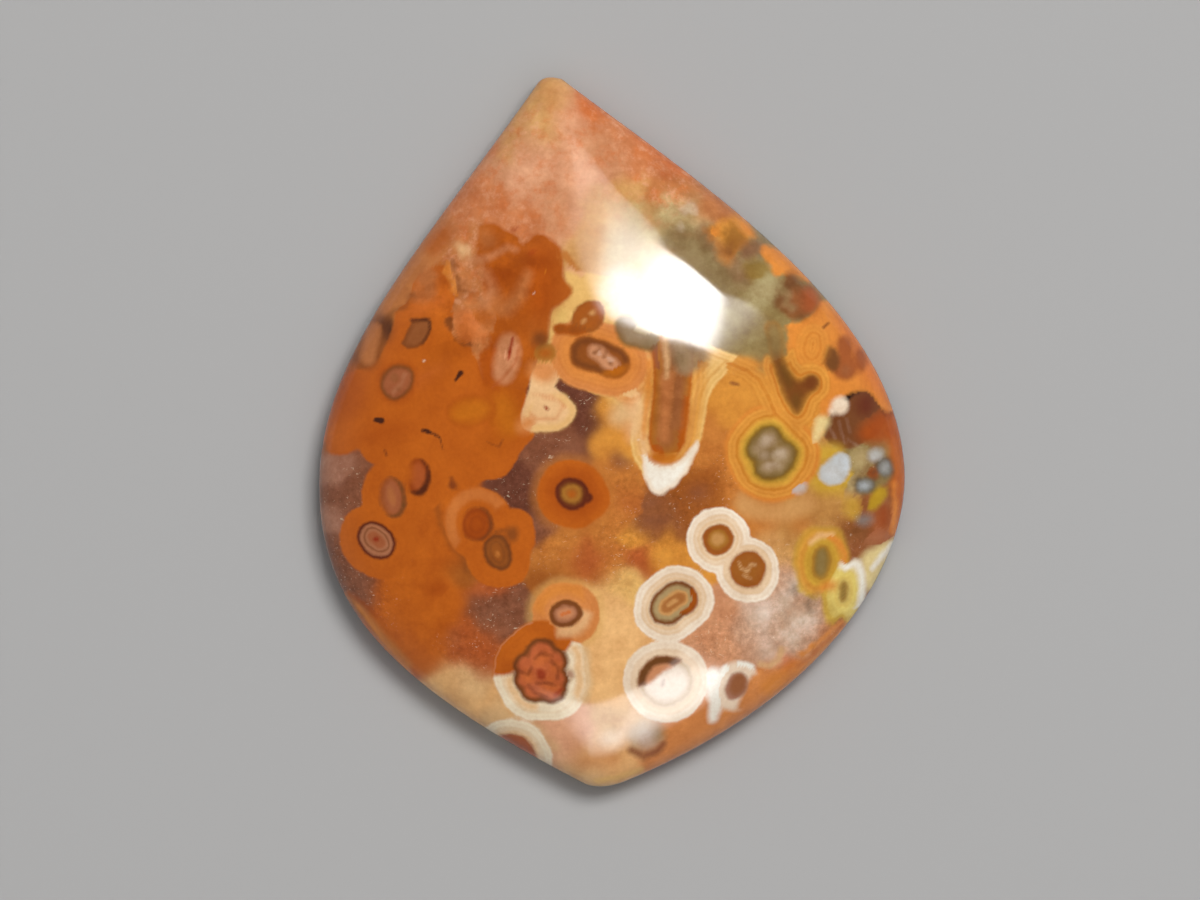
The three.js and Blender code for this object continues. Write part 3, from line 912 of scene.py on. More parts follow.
def blade():
    """The long amber blade in the middle with its striped, cream tipped sheath."""
    body = tube((3.9, 4.2), (3.75, 2.5), (3.15, -0.8), r=1.2, end=0.98)
    sheath = patch(
        (2.6, 4.4), (2.5, 3.4), (2.0, 2.4), (1.7, 1.2), (1.4, 0.2), (1.1, -0.7), (1.3, -1.8),
        (1.9, -2.9), (2.5, -3.3), (3.6, -3.1), (4.5, -2.4), (5.0, -1.2), (5.35, 0.3), (5.7, 1.6),
        (6.9, 3.0), (7.6, 3.2), (7.4, 3.8), (6.2, 4.2), (4.0, 5.4),
    )
    mark("rim", sheath, "honey pale", 0.07, 1.0, 1.2)
    mark("band", both(grow(body, 0.8), grow(sheath, -0.1)), "honey", 0.22, 0.7, 1.6)
    stains("stripe", "peach", 0.35, 0.8, (1.6, 0.6, 0.45, 1.3, -12), (1.9, -1.0, 0.3, 0.9, 8))
    tip = patch(
        (1.5, -0.4), (1.75, -1.6), (1.7, -2.2), (1.85, -2.9), (2.15, -3.6), (2.7, -3.8), (3.1, -3.5),
        (3.6, -3.35), (3.9, -2.9), (4.5, -2.4), (5.0, -1.3), (4.9, -0.8), (4.5, -1.4), (3.9, -2.0),
        (3.0, -2.2), (2.3, -1.9), (1.9, -1.2),
    )
    mark("stripe", tip, "vanilla", 0.08)
    mark("shell", grow(tip, -0.2), "white", 0.14, 0.8)
    nodule(
        body, shell=(0.0, "amber", 0.07), core=(-0.14, "gold brown", 0.18, 0.7),
        heart=(-0.45, "sienna", 0.25, 0.75),
    )
    stains("shell", "amber gold", 0.25, 0.9, (2.9, -1.75, 0.9, 0.4))
    stains("core", "amber", 0.25, 0.9, (2.75, -1.0, 0.4, 0.7, 10), (4.1, 0.2, 0.4, 1.6, -10))
    stroke("dot", "dusty", 0.25, 0.95, 0.4, (3.45, 2.6), (3.05, -0.7), end=0.22)
    stroke(
        "dot", "bright orange", 0.12, 0.7, 0.17, (2.45, 3.7), (2.35, 2.4), (2.1, 0.8), (1.9, -0.6),
        end=0.08,
    )
    stroke("dot", "sienna", 0.25, 0.7, 0.3, (4.15, 2.3), (3.8, 0.0))
    shadow = patch((3.4, 5.5), (5.9, 4.4), (6.0, 3.6), (5.2, 2.9), (4.4, 2.6), (3.9, 3.2), (3.8, 4.2))
    mark("dot", shadow, "taupe", 0.25, 0.85)
    stains(
        "spot", "olive dark", 0.25, 0.35, (4.3, 3.6, 0.4, 0.5), (5.0, 4.2, 0.5, 0.25, -20),
        (2.7, 4.7, 0.4, 0.25),
    )
    stains("dot", "mauve", 0.35, 0.6, (4.4, 4.2, 0.35, 0.6, -40), (5.3, 3.4, 0.4))
    stroke("spot", "tan pale", 0.16, 0.75, 0.16, (3.6, 5.0), (3.5, 3.8), (3.4, 2.8), end=0.1)
    hook = tube((1.4, 5.7), (1.55, 5.2), (2.2, 4.95), (3.1, 4.7), r=0.62, end=0.5)
    nodule(hook, shell=(0.02, "olive dark", 0.14, 0.85), core=(-0.22, "taupe", 0.2, 0.9))
    stroke("core", "mauve", 0.2, 0.8, 0.28, (3.05, 4.6), (3.0, 3.2), end=0.2)
    stains("shell", "moss pale", 0.25, 0.8, (2.1, 5.4, 0.8, 0.4, -15), (3.3, 5.2, 0.6, 0.3, -20))


def green_eye():
    """The lobed green grey eye right of the middle in its ochre and orange rings."""
    core = join(
        oval(8.95, -1.15, 0.9, 0.85), oval(9.75, -2.0, 0.8), oval(8.75, -2.65, 0.75),
        oval(8.3, -1.6, 0.7), oval(9.4, -2.6, 0.7), melt=0.5,
    )
    nodule(
        core, lines=1.6,
        halo=(1.2, "bright orange", 0.12, 0.9), rim=(1.0, "honey", 0.1), band=(0.36, "ochre", 0.25, 0.7),
    )
    arc = both(ring(core, 2.3, 1.25), patch((6.6, -3.6), (11.4, -3.8), (11.2, -6.4), (7.0, -6.2)))
    mark("vein", arc, "tan", 0.3, 0.8)
    nodule(
        core, shell=(0.04, "olive dark", 0.18, 0.9), core=(-0.28, "olive", 0.2, 0.4),
        heart=(-0.4, "grey tan", 0.3),
    )
    stains("dot", "oat", 0.25, 0.35, (8.8, -1.2, 0.35, 0.25, 40), (9.4, -2.0, 0.4, 0.25, 30),
           (8.7, -2.0, 0.25, 0.2), (9.0, -2.5, 0.3, 0.16))
    stains("spot", "olive", 0.16, 0.35, (9.15, -1.6, 0.2, 0.12), (9.1, -2.25, 0.24, 0.1, 20),
           (8.5, -2.3, 0.15, 0.12), (9.6, -1.5, 0.12, 0.16), (8.9, -0.75, 0.2, 0.1))


def green_finger():
    """The olive finger and lobe on the right, in yellow and orange stripes."""
    finger = patch(
        (9.2, 3.6), (9.4, 2.6), (9.8, 1.4), (10.3, 0.4), (10.8, 0.0), (11.15, 0.6), (11.3, 1.1),
        (11.9, 1.5), (12.0, 2.1), (11.5, 2.45), (10.8, 2.2), (10.4, 2.6), (10.1, 3.4), (10.25, 4.6),
        (9.9, 5.6), (8.9, 5.4), (9.2, 4.4),
    )
    below = patch(
        (8.6, 3.9), (9.0, 0.0), (10.4, -1.4), (12.4, -0.6), (13.2, 2.4), (11.2, 3.3), (10.6, 4.0),
        (10.0, 3.2),
    )
    mark("rim", both(grow(finger, 0.6), below), "honey", 0.12, 0.95, 1.8)
    nodule(grow(finger, -0.05), shell=(0.0, "gold brown", 0.12, 0.95), core=(-0.14, "umber", 0.2, 0.85))
    stains("heart", "olive dark", 0.3, 0.5, (10.1, 2.4, 0.3, 0.8, 20), (10.7, 1.0, 0.25, 0.4))
    stains("heart", "moss", 0.4, 0.8, (9.6, 4.4, 0.6, 1.0))
    stains("heart", "umber", 0.2, 0.9, (11.55, 1.9, 0.4, 0.42))


def right_shoulder():
    """Orange masses, brown lobes and grey green cloud below the right edge."""
    mass = patch(
        (10.1, 5.3), (11.3, 5.25), (12.1, 6.0), (12.4, 6.4), (13.2, 6.3), (14.0, 5.0), (15.0, 3.6),
        (16.4, 0.4), (15.8, -0.3), (14.7, 1.2), (13.6, 1.3), (12.4, 0.2), (11.9, -0.2), (12.0, 1.4),
        (11.6, 2.6), (10.6, 3.0), (10.2, 3.8), (10.4, 4.6),
    )
    mark("field", mass, "bright orange", 0.1)
    right_part = patch((13.0, 7.0), (13.6, 3.6), (14.6, 1.4), (17.0, -0.5), (17.0, 4.0))
    mark("patch", both(mass, right_part), "rust bright", 0.5, 0.7)
    swirl = oval(11.7, 3.9, 0.9, 1.2, -15)
    mark("band", both(swirl, mass), "honey", 0.25, 0.45, 1.8)
    for place in ((13.4, 2.6, 0.68, 0.7), (13.5, 3.7, 0.45, 0.65), (14.3, 2.9, 0.35, 0.6)):
        nodule(oval(*place), halo=(0.02, "rust brown", 0.16, 0.95))
    nodule(oval(12.7, 3.1, 0.4, 0.68, 8), rim=(0.02, "bark", 0.14, 0.95))
    stains("rim", "sienna", 0.2, 0.7, (13.4, 2.4, 0.3))
    stroke("stripe", "maroon", 0.06, 0.9, 0.07, (12.4, 4.85), (12.7, 5.1))
    high = patch(
        (9.1, 9.3), (9.3, 9.8), (10.2, 9.6), (11.9, 8.0), (12.0, 7.3), (10.8, 8.1), (9.9, 7.8),
        (9.6, 8.4),
    )
    mark("field", high, "bright orange", 0.12)
    gold = patch(
        (6.0, 10.9), (7.2, 11.2), (8.0, 11.7), (8.9, 10.6), (8.4, 9.8), (7.7, 9.4), (7.3, 8.7),
        (6.9, 9.4), (6.6, 10.2),
    )
    mark("field", gold, "honey", 0.3)
    mark(
        "patch", patch((7.0, 9.5), (7.6, 9.4), (8.3, 9.9), (8.4, 10.6), (7.6, 11.1), (6.9, 10.6)),
        "gold brown", 0.25,
    )
    stains("vein", "bright orange", 0.25, 0.8, (8.5, 10.7, 0.6, 0.25, -50), (6.6, 10.6, 0.35, 0.3))
    stains("vein", "mauve", 0.3, 0.65, (8.5, 9.5, 0.7, 0.45, 25))
    stains("halo", "olive", 0.25, 0.85, (8.85, 8.4, 0.68, 0.62))
    stains("halo", "umber", 0.25, 0.8, (10.6, 7.7, 0.55, 0.5))
    nodule(oval(11.0, 6.4, 1.1, 1.05), halo=(0.0, "umber", 0.25, 0.8), rim=(-0.3, "chestnut", 0.3, 0.8))
    stains("band", "rust", 0.3, 0.8, (11.8, 6.5, 0.5, 0.8))
    stroke("stripe", "moss pale", 0.25, 0.6, 0.14, (10.45, 6.9), (10.35, 6.4), (10.7, 6.1))
    stains("patch", "moss pale", 0.35, 0.8, (7.9, 8.7, 0.3, 0.5, -30))
    stains("patch", "moss pale", 0.5, 0.5, (9.15, 6.8, 0.6, 0.4), (8.9, 5.0, 0.5, 0.4))
    stains("patch", "moss", 0.2, 0.7, (8.7, 2.8, 0.35, 0.25))
    stains("patch", "chestnut", 0.07, 0.9, (7.15, 2.15, 0.25, 0.12, -10))
    stripes = tube((7.0, 3.3), (7.9, 2.9), (8.5, 2.3), (9.0, 1.3), (9.5, 0.1), (10.2, -0.8), r=0.5)
    mark("rim", stripes, "honey", 0.2, 0.8, 1.8)
    stroke("vein", "mauve", 0.35, 0.5, 0.3, (6.0, 11.0), (7.0, 9.6), (8.0, 8.2), end=0.5)
    stains("vein", "oat", 0.25, 0.5, (5.2, 12.0, 0.3, 0.25), (4.8, 11.2, 0.25, 0.2))


def right_beads():
    """White, slate and yellow beads near the right edge, and the maroon hollow."""
    hollow = patch(
        (14.6, 1.4), (13.7, 0.9), (12.3, 0.0), (11.9, -1.4), (13.2, -2.0), (14.4, -1.6),
        (15.4, -1.0), (15.7, -0.2), cuts=1,
    )
    mark("field", hollow, "hollow brown", 0.08)
    stains("patch", "maroon", 0.4, 0.9, (14.5, 0.5, 0.55, 0.6))
    far_end = patch((14.3, -0.4), (15.9, 0.2), (16.4, -1.4), (15.0, -2.0), (13.8, -1.4))
    mark("patch", far_end, "deep orange", 0.4, 0.9)
    for a, b in (
        ((12.9, -0.3), (13.1, -1.5)), ((12.3, -0.5), (12.6, -1.2)),
        ((13.4, -0.2), (13.5, -0.9)), ((13.9, -1.9), (13.3, -1.3)),
    ):
        stroke("vein", "quartz pale", 0.1, 0.2, 0.04, a, b, end=0.03)
    mark("rim", join(oval(13.05, 0.55, 0.5), oval(12.55, 0.3, 0.18), melt=0.2), "vanilla", 0.14)
    stroke("rim", "straw pale", 0.2, 0.9, 0.34, (12.0, -0.3), (11.5, -1.3), end=0.14)
    stains(
        "patch", "ochre", 0.35, 0.9, (12.1, -2.1, 0.85, 0.5, 10), (12.2, -3.4, 1.2, 1.0),
        (10.9, -2.9, 0.6, 0.7),
    )
    stains("patch", "olive tan", 0.4, 0.7, (13.9, -2.6, 0.6, 0.7), (13.4, -4.0, 0.5, 0.6))
    bead = join(oval(12.35, -3.2, 0.78, 0.66, 20), oval(12.85, -2.5, 0.34, 0.4), melt=0.8)
    mark("rim", bead, "pearl", 0.1)
    stains("band", "milk", 0.35, 0.3, (12.3, -3.2, 0.4, 0.35, -35))
    stains("rim", "pearl", 0.14, 0.75, (10.5, -3.95, 0.45, 0.26, 15))
    for a, b in (
        ((14.4, -2.9), (13.7, -3.7)), ((13.7, -4.0), (13.4, -4.6)),
        ((14.0, -4.6), (13.9, -6.2)), ((14.6, -2.7), (15.5, -2.8)),
    ):
        stroke("vein", "umber", 0.3, 0.55, 0.16, a, b, end=0.1)
    for place in ((15.25, -3.2, 0.36, 0.42), (14.05, -4.05, 0.42, 0.36)):
        nodule(
            oval(*place), halo=(0.14, "slate dark", 0.18, 0.8), rim=(0.0, "slate", 0.18, 0.9),
            band=(-0.15, "pearl", 0.2, 0.5),
        )
    stains("rim", "pearl", 0.2, 0.8, (14.8, -2.4, 0.42, 0.33))
    stains("rim", "slate", 0.3, 0.7, (13.9, -6.0, 0.4, 0.25))
    stains("patch", "deep orange", 0.2, 0.9, (14.6, -3.4, 0.4, 0.3, 20))
    stains("vein", "mustard", 0.18, 0.9, (14.7, -4.85, 0.4, 0.75, -35))
    stains("vein", "ochre", 0.25, 0.6, (13.3, -5.2, 0.5, 0.7))
    edge = patch((15.6, 0.0), (15.5, -3.0), (15.6, -6.0), (15.2, -7.2), (17.0, -7.0), (17.0, 0.0))
    mark("field", edge, "orange", 0.25, 0.9)
    stroke("patch", "bright orange", 0.15, 0.8, 0.13, (15.75, -4.2), (15.7, -5.6), (15.5, -6.8))
    stains("patch", "burnt", 0.3, 0.8, (15.0, -5.9, 0.4, 0.6))
    stains("patch", "bark", 0.5, 0.6, (13.5, -6.6, 0.9, 0.5))
    stains("patch", "sand brown", 0.4, 0.6, (14.6, -7.0, 0.6, 0.35))
    wedge = patch(
        (15.9, -7.0), (14.8, -7.4), (13.6, -8.0), (13.4, -9.0), (13.8, -10.3), (15.2, -9.4),
        (16.3, -7.6),
    )
    mark("patch", wedge, "straw pale", 0.25)
    stroke("vein", "white", 0.12, 1.0, 0.18, (15.4, -7.5), (14.8, -8.1), (14.2, -8.8), end=0.12)


def yellow_eyes():
    """The pair of soft yellow eyes low on the right."""
    upper = oval(11.4, -8.2, 0.5, 0.95, -5)
    nodule(
        upper, lines=1.2,
        halo=(1.0, "ochre", 0.2, 0.9), rim=(0.82, "honey", 0.2, 0.9), band=(0.45, "ochre", 0.2, 0.9),
        shell=(0.1, "gold brown", 0.25, 0.8), core=(-0.08, "olive", 0.2), heart=(-0.25, "moss", 0.2, 0.8),
    )
    stroke("stripe", "peach", 0.16, 0.8, 0.12, (10.9, -7.0), (11.4, -6.65), (12.1, -6.7))
    stroke(
        "stripe", "bright orange", 0.14, 0.95, 0.16, (12.0, -6.75), (12.5, -7.15), (12.75, -7.9),
        (12.6, -8.6), end=0.1,
    )
    lower = oval(12.55, -10.0, 0.18, 0.5, -8)
    nodule(
        lower, lines=0.6,
        rim=(0.98, "ochre", 0.14), band=(0.72, "lemon", 0.2, 0.9), shell=(0.12, "gold brown", 0.15, 0.7),
        core=(0.0, "olive", 0.14, 0.9),
    )
    side = patch((12.2, -8.2), (12.7, -9.4), (12.8, -11.2), (14.5, -10.5), (14.0, -8.2))
    mark("stripe", both(ring(lower, 1.02, 0.62), side), "white", 0.14)
    stains("stripe", "bright orange", 0.25, 0.8, (11.75, -9.6, 0.45, 0.35))
    stains(
        "field", "oat", 0.6, 0.75, (10.2, -11.3, 0.9, 0.6), (9.2, -10.4, 0.5), (9.5, -12.3, 0.5, 0.3),
        (7.9, -11.0, 0.5), (9.9, -9.3, 0.4, 0.3), (8.4, -13.2, 0.4),
    )
    stains("patch", "slate dark", 0.3, 0.6, (9.8, -9.7, 0.2, 0.42, 10), (10.6, -10.5, 0.18, 0.4, -10))


def soft_spots():
    """Stains without an edge that lie in the clear ground."""
    stains("field", "orange", 0.35, 0.85, (-9.3, -9.0, 0.75, 0.6))
    stains("field", "deep orange", 0.4, 0.8, (-10.1, -8.3, 0.6, 0.4, 20))
    stains(
        "field", "mauve", 0.6, 0.7, (2.2, -5.2, 1.0, 0.5, -10), (4.8, -3.9, 0.5, 0.4),
        (1.9, -4.2, 0.7, 0.4, 20),
    )
    stains("field", "rust", 0.7, 0.5, (0.9, -4.2, 0.9, 0.7), (-1.4, -7.2, 1.2, 0.5, 10))
    stains("field", "dusty pale", 0.5, 0.6, (-5.4, 16.5, 0.5, 1.0, -40), (0.6, 16.2, 0.5, 0.6))


for region in (
    left_field, upper_left_edge, amber_pool, orange_eyes, red_eye, white_eyes, toe_marks, cream_lobe,
    centre_net, blade, green_eye, green_finger, right_shoulder, right_beads, yellow_eyes, soft_spots,
):
    region()


# The clear ground between the markings: soft clouds of each colour, as (x, y, radius)

CLOUDS = {
    "tan": (
        (-2.0, 19.2, 1.2), (-2.6, 17.2, 1.0), (2.0, 13.3, 0.8), (-4.4, 16.2, 0.9), (3.1, 11.8, 0.7),
        (9.2, -7.4, 0.8), (0.4, 11.6, 1.2), (-0.2, 9.8, 0.8), (3.0, 7.0, 1.6),
    ),
    "rose pale": (
        (-3.2, -17.0, 1.1), (-1.0, 17.8, 1.0), (-1.2, 16.0, 1.3), (-3.0, 15.0, 1.2), (-1.5, 14.2, 1.1),
        (-3.9, 13.5, 0.9),
    ),
    "rose": (
        (5.2, -12.6, 0.9), (5.4, -11.2, 0.7), (-3.2, 16.0, 0.9), (-2.2, 13.0, 0.9), (-5.4, 14.6, 0.9),
        (-2.4, 12.0, 0.8), (1.0, 15.3, 0.7), (0.4, 16.2, 0.6),
    ),
    "salmon": (
        (-6.5, 13.6, 0.9), (-3.8, 12.2, 0.7), (-5.2, 12.9, 0.7), (0.9, 17.2, 0.6), (2.0, 16.0, 0.7),
        (2.2, 14.6, 0.6), (3.5, 14.1, 0.6), (-7.5, 12.6, 0.7),
    ),
    "dusty": (
        (-8.3, 11.9, 1.0), (-6.7, 11.5, 0.8), (3.4, 13.1, 0.7), (5.3, 13.0, 0.8), (-7.2, 8.0, 1.0),
        (6.8, 12.4, 0.8), (-7.4, 10.2, 0.8), (11.8, -11.9, 0.6),
    ),
    "rust bright": (
        (3.0, 16.0, 0.7), (4.2, 14.9, 0.7), (0.6, 18.3, 0.7), (9.4, -14.3, 0.9), (-5.8, 16.2, 0.4),
    ),
    "moss pale": ((9.0, 7.0, 0.7),),
    "moss": (
        (7.7, 6.7, 1.0), (9.6, 6.0, 1.0), (8.2, 5.0, 1.0), (8.2, 4.1, 0.8), (9.7, 4.6, 0.8),
        (13.8, -3.0, 0.6),
    ),
    "honey": (
        (6.6, 1.8, 1.0), (7.8, 2.0, 0.9), (7.2, 0.8, 0.8), (8.6, 1.2, 0.8), (0.2, -0.9, 0.8),
        (0.0, 0.6, 0.7), (2.7, -6.5, 0.8), (3.8, -7.1, 0.7), (0.9, -5.8, 0.5),
    ),
    "pale orange": (
        (1.6, -18.7, 0.9), (3.2, -17.2, 1.1), (4.4, -16.0, 0.7), (7.4, -15.6, 0.9), (5.6, -16.8, 0.8),
        (8.6, -14.4, 0.6),
    ),
    "honey pale": ((1.2, 1.2, 0.6), (0.3, -8.9, 0.8)),
    "apricot": (
        (-0.8, -10.6, 1.3), (-0.2, -12.2, 1.4), (-0.9, -13.4, 1.0), (-1.2, -14.2, 0.9),
        (-9.8, -13.9, 1.1), (-8.2, -15.0, 1.0), (-0.6, -18.6, 1.0),
    ),
    "copper": (
        (5.9, 0.2, 0.9), (6.1, -1.4, 1.1), (6.5, -3.2, 1.0), (7.6, -5.0, 1.0), (-0.2, -4.6, 0.9),
        (0.6, -3.4, 0.8), (-3.0, -7.2, 0.9), (9.0, -6.0, 0.9), (-0.6, -7.2, 1.0), (-9.6, 10.6, 1.0),
        (10.6, -6.2, 0.7), (-0.4, -2.2, 0.6),
    ),
    "brown": (
        (5.2, -3.4, 0.8), (4.4, -4.8, 0.7), (3.4, -3.9, 0.6), (-15.6, 2.4, 1.0), (-3.6, -7.8, 0.7),
        (-8.7, -7.0, 0.8),
    ),
    "clay": ((-9.2, -11.0, 0.6),),
    "sienna": ((14.4, -6.8, 0.9), (13.2, -7.4, 0.7)),
    "chestnut": ((2.4, -4.6, 0.9), (4.0, -5.6, 0.6), (1.6, -5.4, 0.6), (13.4, -6.4, 0.8)),
    "golden tan": ((11.2, -5.3, 1.0), (12.3, -5.5, 0.8), (10.0, -6.4, 0.8), (9.9, -7.6, 0.8)),
    "rust": (
        (1.0, -7.3, 0.8), (-1.8, -7.3, 0.7), (-8.6, -11.4, 1.0), (-8.2, -12.6, 0.7), (-7.4, -8.4, 0.6),
        (14.6, -6.8, 0.6),
    ),
    "orange": (
        (-10.4, -7.6, 1.3), (-10.2, -10.3, 1.5), (-12.4, -10.4, 1.1), (-11.8, -7.6, 0.8),
        (-9.2, -6.2, 0.7), (-12.8, -9.0, 1.0), (-11.0, -12.0, 0.8), (-9.9, -4.8, 1.2),
    ),
    "olive grey": ((6.0, 9.4, 1.0), (6.9, 8.2, 1.0), (5.0, 10.4, 0.7)),
    "olive tan": (
        (5.4, 12.0, 0.9), (4.4, 11.2, 0.8), (2.8, 11.4, 0.9), (2.2, 10.4, 1.3), (1.4, 11.4, 1.0),
        (1.0, 9.8, 1.0),
    ),
    "mauve": (
        (-15.2, -2.8, 1.1), (-15.6, -6.4, 0.9), (-14.2, -8.0, 0.8), (-7.2, -9.4, 0.9),
        (-6.3, -10.2, 0.8), (-3.6, -1.0, 1.1), (-4.6, -5.2, 0.6), (0.1, -1.8, 0.4),
    ),
    "mauve pale": ((-15.9, -4.0, 0.6), (-15.6, -1.2, 0.6), (12.4, -11.4, 0.5)),
    "mauve dark": (
        (-1.5, 1.4, 0.9), (-5.4, -3.0, 0.9), (-2.6, 2.7, 0.6), (-0.9, 0.2, 0.7), (-5.9, -3.6, 0.6),
    ),
    "tan pale": (
        (-8.8, -13.6, 0.9), (-7.4, -15.5, 0.6), (-2.2, -18.8, 1.2), (-0.6, -16.6, 1.0),
    ),
    "quartz": (
        (8.6, -11.4, 1.1), (10.2, -11.2, 0.9), (9.2, -9.2, 0.9), (7.0, -12.0, 0.9), (9.8, -12.5, 0.7),
    ),
    "quartz pale": (
        (7.9, -10.9, 0.8), (9.0, -10.4, 0.7), (10.6, -9.2, 0.5), (9.6, -11.9, 0.6), (7.6, -12.2, 0.5),
    ),
}
# Places where the ground sparkles, is marbled or is mottled, as (x, y, radius)
SPARKLING = (
    (-1.4, 1.2, 1.3), (-3.8, -1.4, 1.5), (-5.6, -3.2, 1.2), (-4.2, -5.4, 1.2), (-14.6, -2.6, 1.6),
    (-15.0, -6.6, 1.6), (-14.0, -8.4, 1.2), (-6.4, -10.0, 1.4), (-8.6, -11.6, 1.2), (-0.4, -6.8, 2.0),
    (3.0, -4.8, 1.8), (8.4, -11.6, 2.2), (10.8, -11.4, 1.4), (13.4, -6.6, 1.4), (12.8, -1.0, 1.2),
    (9.4, -8.8, 1.2), (4.6, 4.2, 1.0), (6.4, -2.6, 1.4), (5.4, -12.2, 1.2), (0.0, -3.4, 1.0),
    (14.2, -3.2, 1.0), (-6.2, -8.9, 1.0),
)
MARBLED = (
    (-7.4, 8.6, 1.8), (-5.6, 9.8, 1.8), (-7.6, 6.4, 1.4), (-4.0, 9.0, 1.4), (-5.4, 5.0, 1.6),
    (-6.2, 7.4, 1.4), (-9.8, 8.4, 1.2), (7.2, 8.6, 1.8), (9.2, 6.2, 1.6), (8.4, 4.6, 1.4),
    (6.2, 10.6, 1.4), (4.6, 12.0, 1.4), (9.0, -1.9, 1.2), (10.8, 6.6, 1.2), (3.4, 0.6, 1.0),
    (3.6, 2.6, 1.2), (4.6, 4.2, 1.2), (-4.6, -13.3, 1.4), (8.8, -11.2, 1.8), (10.6, -11.0, 1.2),
    (14.0, -3.4, 1.4),
)
MOTTLED = (
    (-4.6, 13.4, 3.0), (2.6, 15.4, 2.2), (-2.6, 16.4, 2.0), (-7.2, 9.0, 1.8), (4.4, 13.2, 1.6),
    (-6.0, 11.0, 1.4), (0.8, 17.4, 1.2),
)


PLACE_FALLOFF = 0.7  # how steeply a place fades past its radius
CLOUD_SPREAD = 0.9  # share of its radius at which a cloud's weight is down to a third
LEAST_WEIGHT = 1e-12  # keeps the ground's colour defined where no cloud reaches


def soft_sum(px, py, places):
    """Summed soft bumps at the places, cut off at 1."""
    total = np.zeros(len(px))
    for x, y, radius in places:
        total += np.exp(-(((px - x) ** 2 + (py - y) ** 2) / radius**2) * PLACE_FALLOFF)
    return np.clip(total, 0, 1)


def ground_colour(px, py):
    """The ground's colour: each cloud counts by its nearness."""
    total = np.full(len(px), LEAST_WEIGHT)
    colour = np.zeros((len(px), 3))
    for name, places in CLOUDS.items():
        for x, y, radius in places:
            weight = np.exp(-((px - x) ** 2 + (py - y) ** 2) / (CLOUD_SPREAD * radius) ** 2)
            total += weight
            colour += weight[:, None] * linear(name)
    return colour / total[:, None]


def layer_fields(layer, px, py, sink):
    """Depth, cover, line strength, colour and softness of one layer at every point. The shapes
    taper by sink as they go down into the stone."""
    depth = np.full(len(px), OUTSIDE)
    best = np.full(len(px), -np.inf)
    cover = np.ones(len(px))
    lines = np.zeros(len(px))
    soft = np.full(len(px), EDGE)
    colour = np.zeros((len(px), 3))
    for shape, tint, edge, share, strength in marks[layer]:
        here = shape(px, py) - sink
        nearer = here > best
        best = np.where(nearer, here, best)
        depth = blend_up(depth, here, MELTS.get(layer, 0.0))
        colour[nearer] = tint
        soft[nearer] = edge
        cover[nearer] = share
        lines[nearer] = strength
    return depth, cover, lines, colour, soft


# Eyes on the flat back: how many, their sizes and how far apart they keep, in millimetres
BACK_EYES = 26
BACK_SEED = 11
EYE_SIZES = (0.5, 1.2)
EYE_SHAPES = (0.7, 1.1)
EDGE_CLEARANCE = 3.6
EYE_CLEARANCE = 1.1
EYE_CROWDING = 0.8
BACK_LINES = 0.6
BACK_SKINS = {"rim": 1.0, "shell": 0.0, "core": -0.22}
EYE_KINDS = (
    {"rim": "orange", "shell": "maroon", "core": "gold brown"},
    {"rim": "cream", "shell": "brown", "core": "tan"},
    {"rim": "pale orange", "shell": "umber", "core": "mauve pale"},
    {"rim": "ochre", "shell": "olive dark", "core": "moss"},
)


def scattered_eyes():
    """Eyes of the stone's own kinds scattered over the flat back, as (shape, kind)."""
    draw = np.random.default_rng(BACK_SEED)
    placed = []
    eyes = []
    while len(placed) < BACK_EYES:
        turn = draw.uniform(-math.pi, math.pi)
        reach = math.sqrt(draw.uniform(0, 1)) * (edge_radius(turn) - EDGE_CLEARANCE)
        x = reach * math.cos(turn)
        y = CROWN_OFFSET + reach * math.sin(turn)
        core = draw.uniform(*EYE_SIZES)
        if any(
            math.hypot(x - a, y - b) < EYE_CROWDING * (core + r) + EYE_CLEARANCE
            for a, b, r in placed
        ):
            continue
        placed.append((x, y, core))
        kind = EYE_KINDS[draw.integers(len(EYE_KINDS))]
        eyes.append((oval(x, y, core, core * draw.uniform(*EYE_SHAPES), draw.uniform(0, 180)), kind))
    return eyes


BACK_MARKS = scattered_eyes()


def add_back_eyes(layer, px, py, fields):
    """Lays the back's own eyes into a layer, on the flat back only."""
    if layer not in BACK_SKINS:
        return fields
    depth, cover, lines, colour, soft = fields
    for shape, kind in BACK_MARKS:
        here = np.where(IS_BACK, shape(px, py) + BACK_SKINS[layer], OUTSIDE)
        nearer = here > depth
        depth = blend_up(depth, here, MELTS.get(layer, 0.0))
        colour[nearer] = linear(kind[layer])
        soft[nearer] = EDGE
        cover[nearer] = 1.0
        lines[nearer] = BACK_LINES if layer in LINED else 0.0
    return depth, cover, lines, colour, soft


# Natural wavering of every outline, as (size, amount, seed) with both in millimetres
WAVER = ((2.6, 0.10, 1), (0.9, 0.05, 3))
CLOUD_WAVER = ((2.0, 0.55, 5), (0.8, 0.2, 7))
OTHER_WAY = 100  # added to the seed for the waver along y
WALL_SINK = 0.35  # how much the shapes taper for each millimetre below the dome
BACK_SINK = 0.3  # how much more they taper on the flat back


def wavered(px, py, waves):
    """The points moved a little to and fro, so that outlines waver."""
    moved_x = px.copy()
    moved_y = py.copy()
    for size, amount, seed in waves:
        moved_x += amount * soft_noise(px, py, size, seed)
        moved_y += amount * soft_noise(px, py, size, seed + OTHER_WAY)
    return moved_x, moved_y


def store(mesh, name, kind, field, values):
    """Keeps one value for every point of the mesh, as a named attribute."""
    attribute = mesh.attributes.new(name, kind, "POINT")
    attribute.data.foreach_set(field, values.ravel())


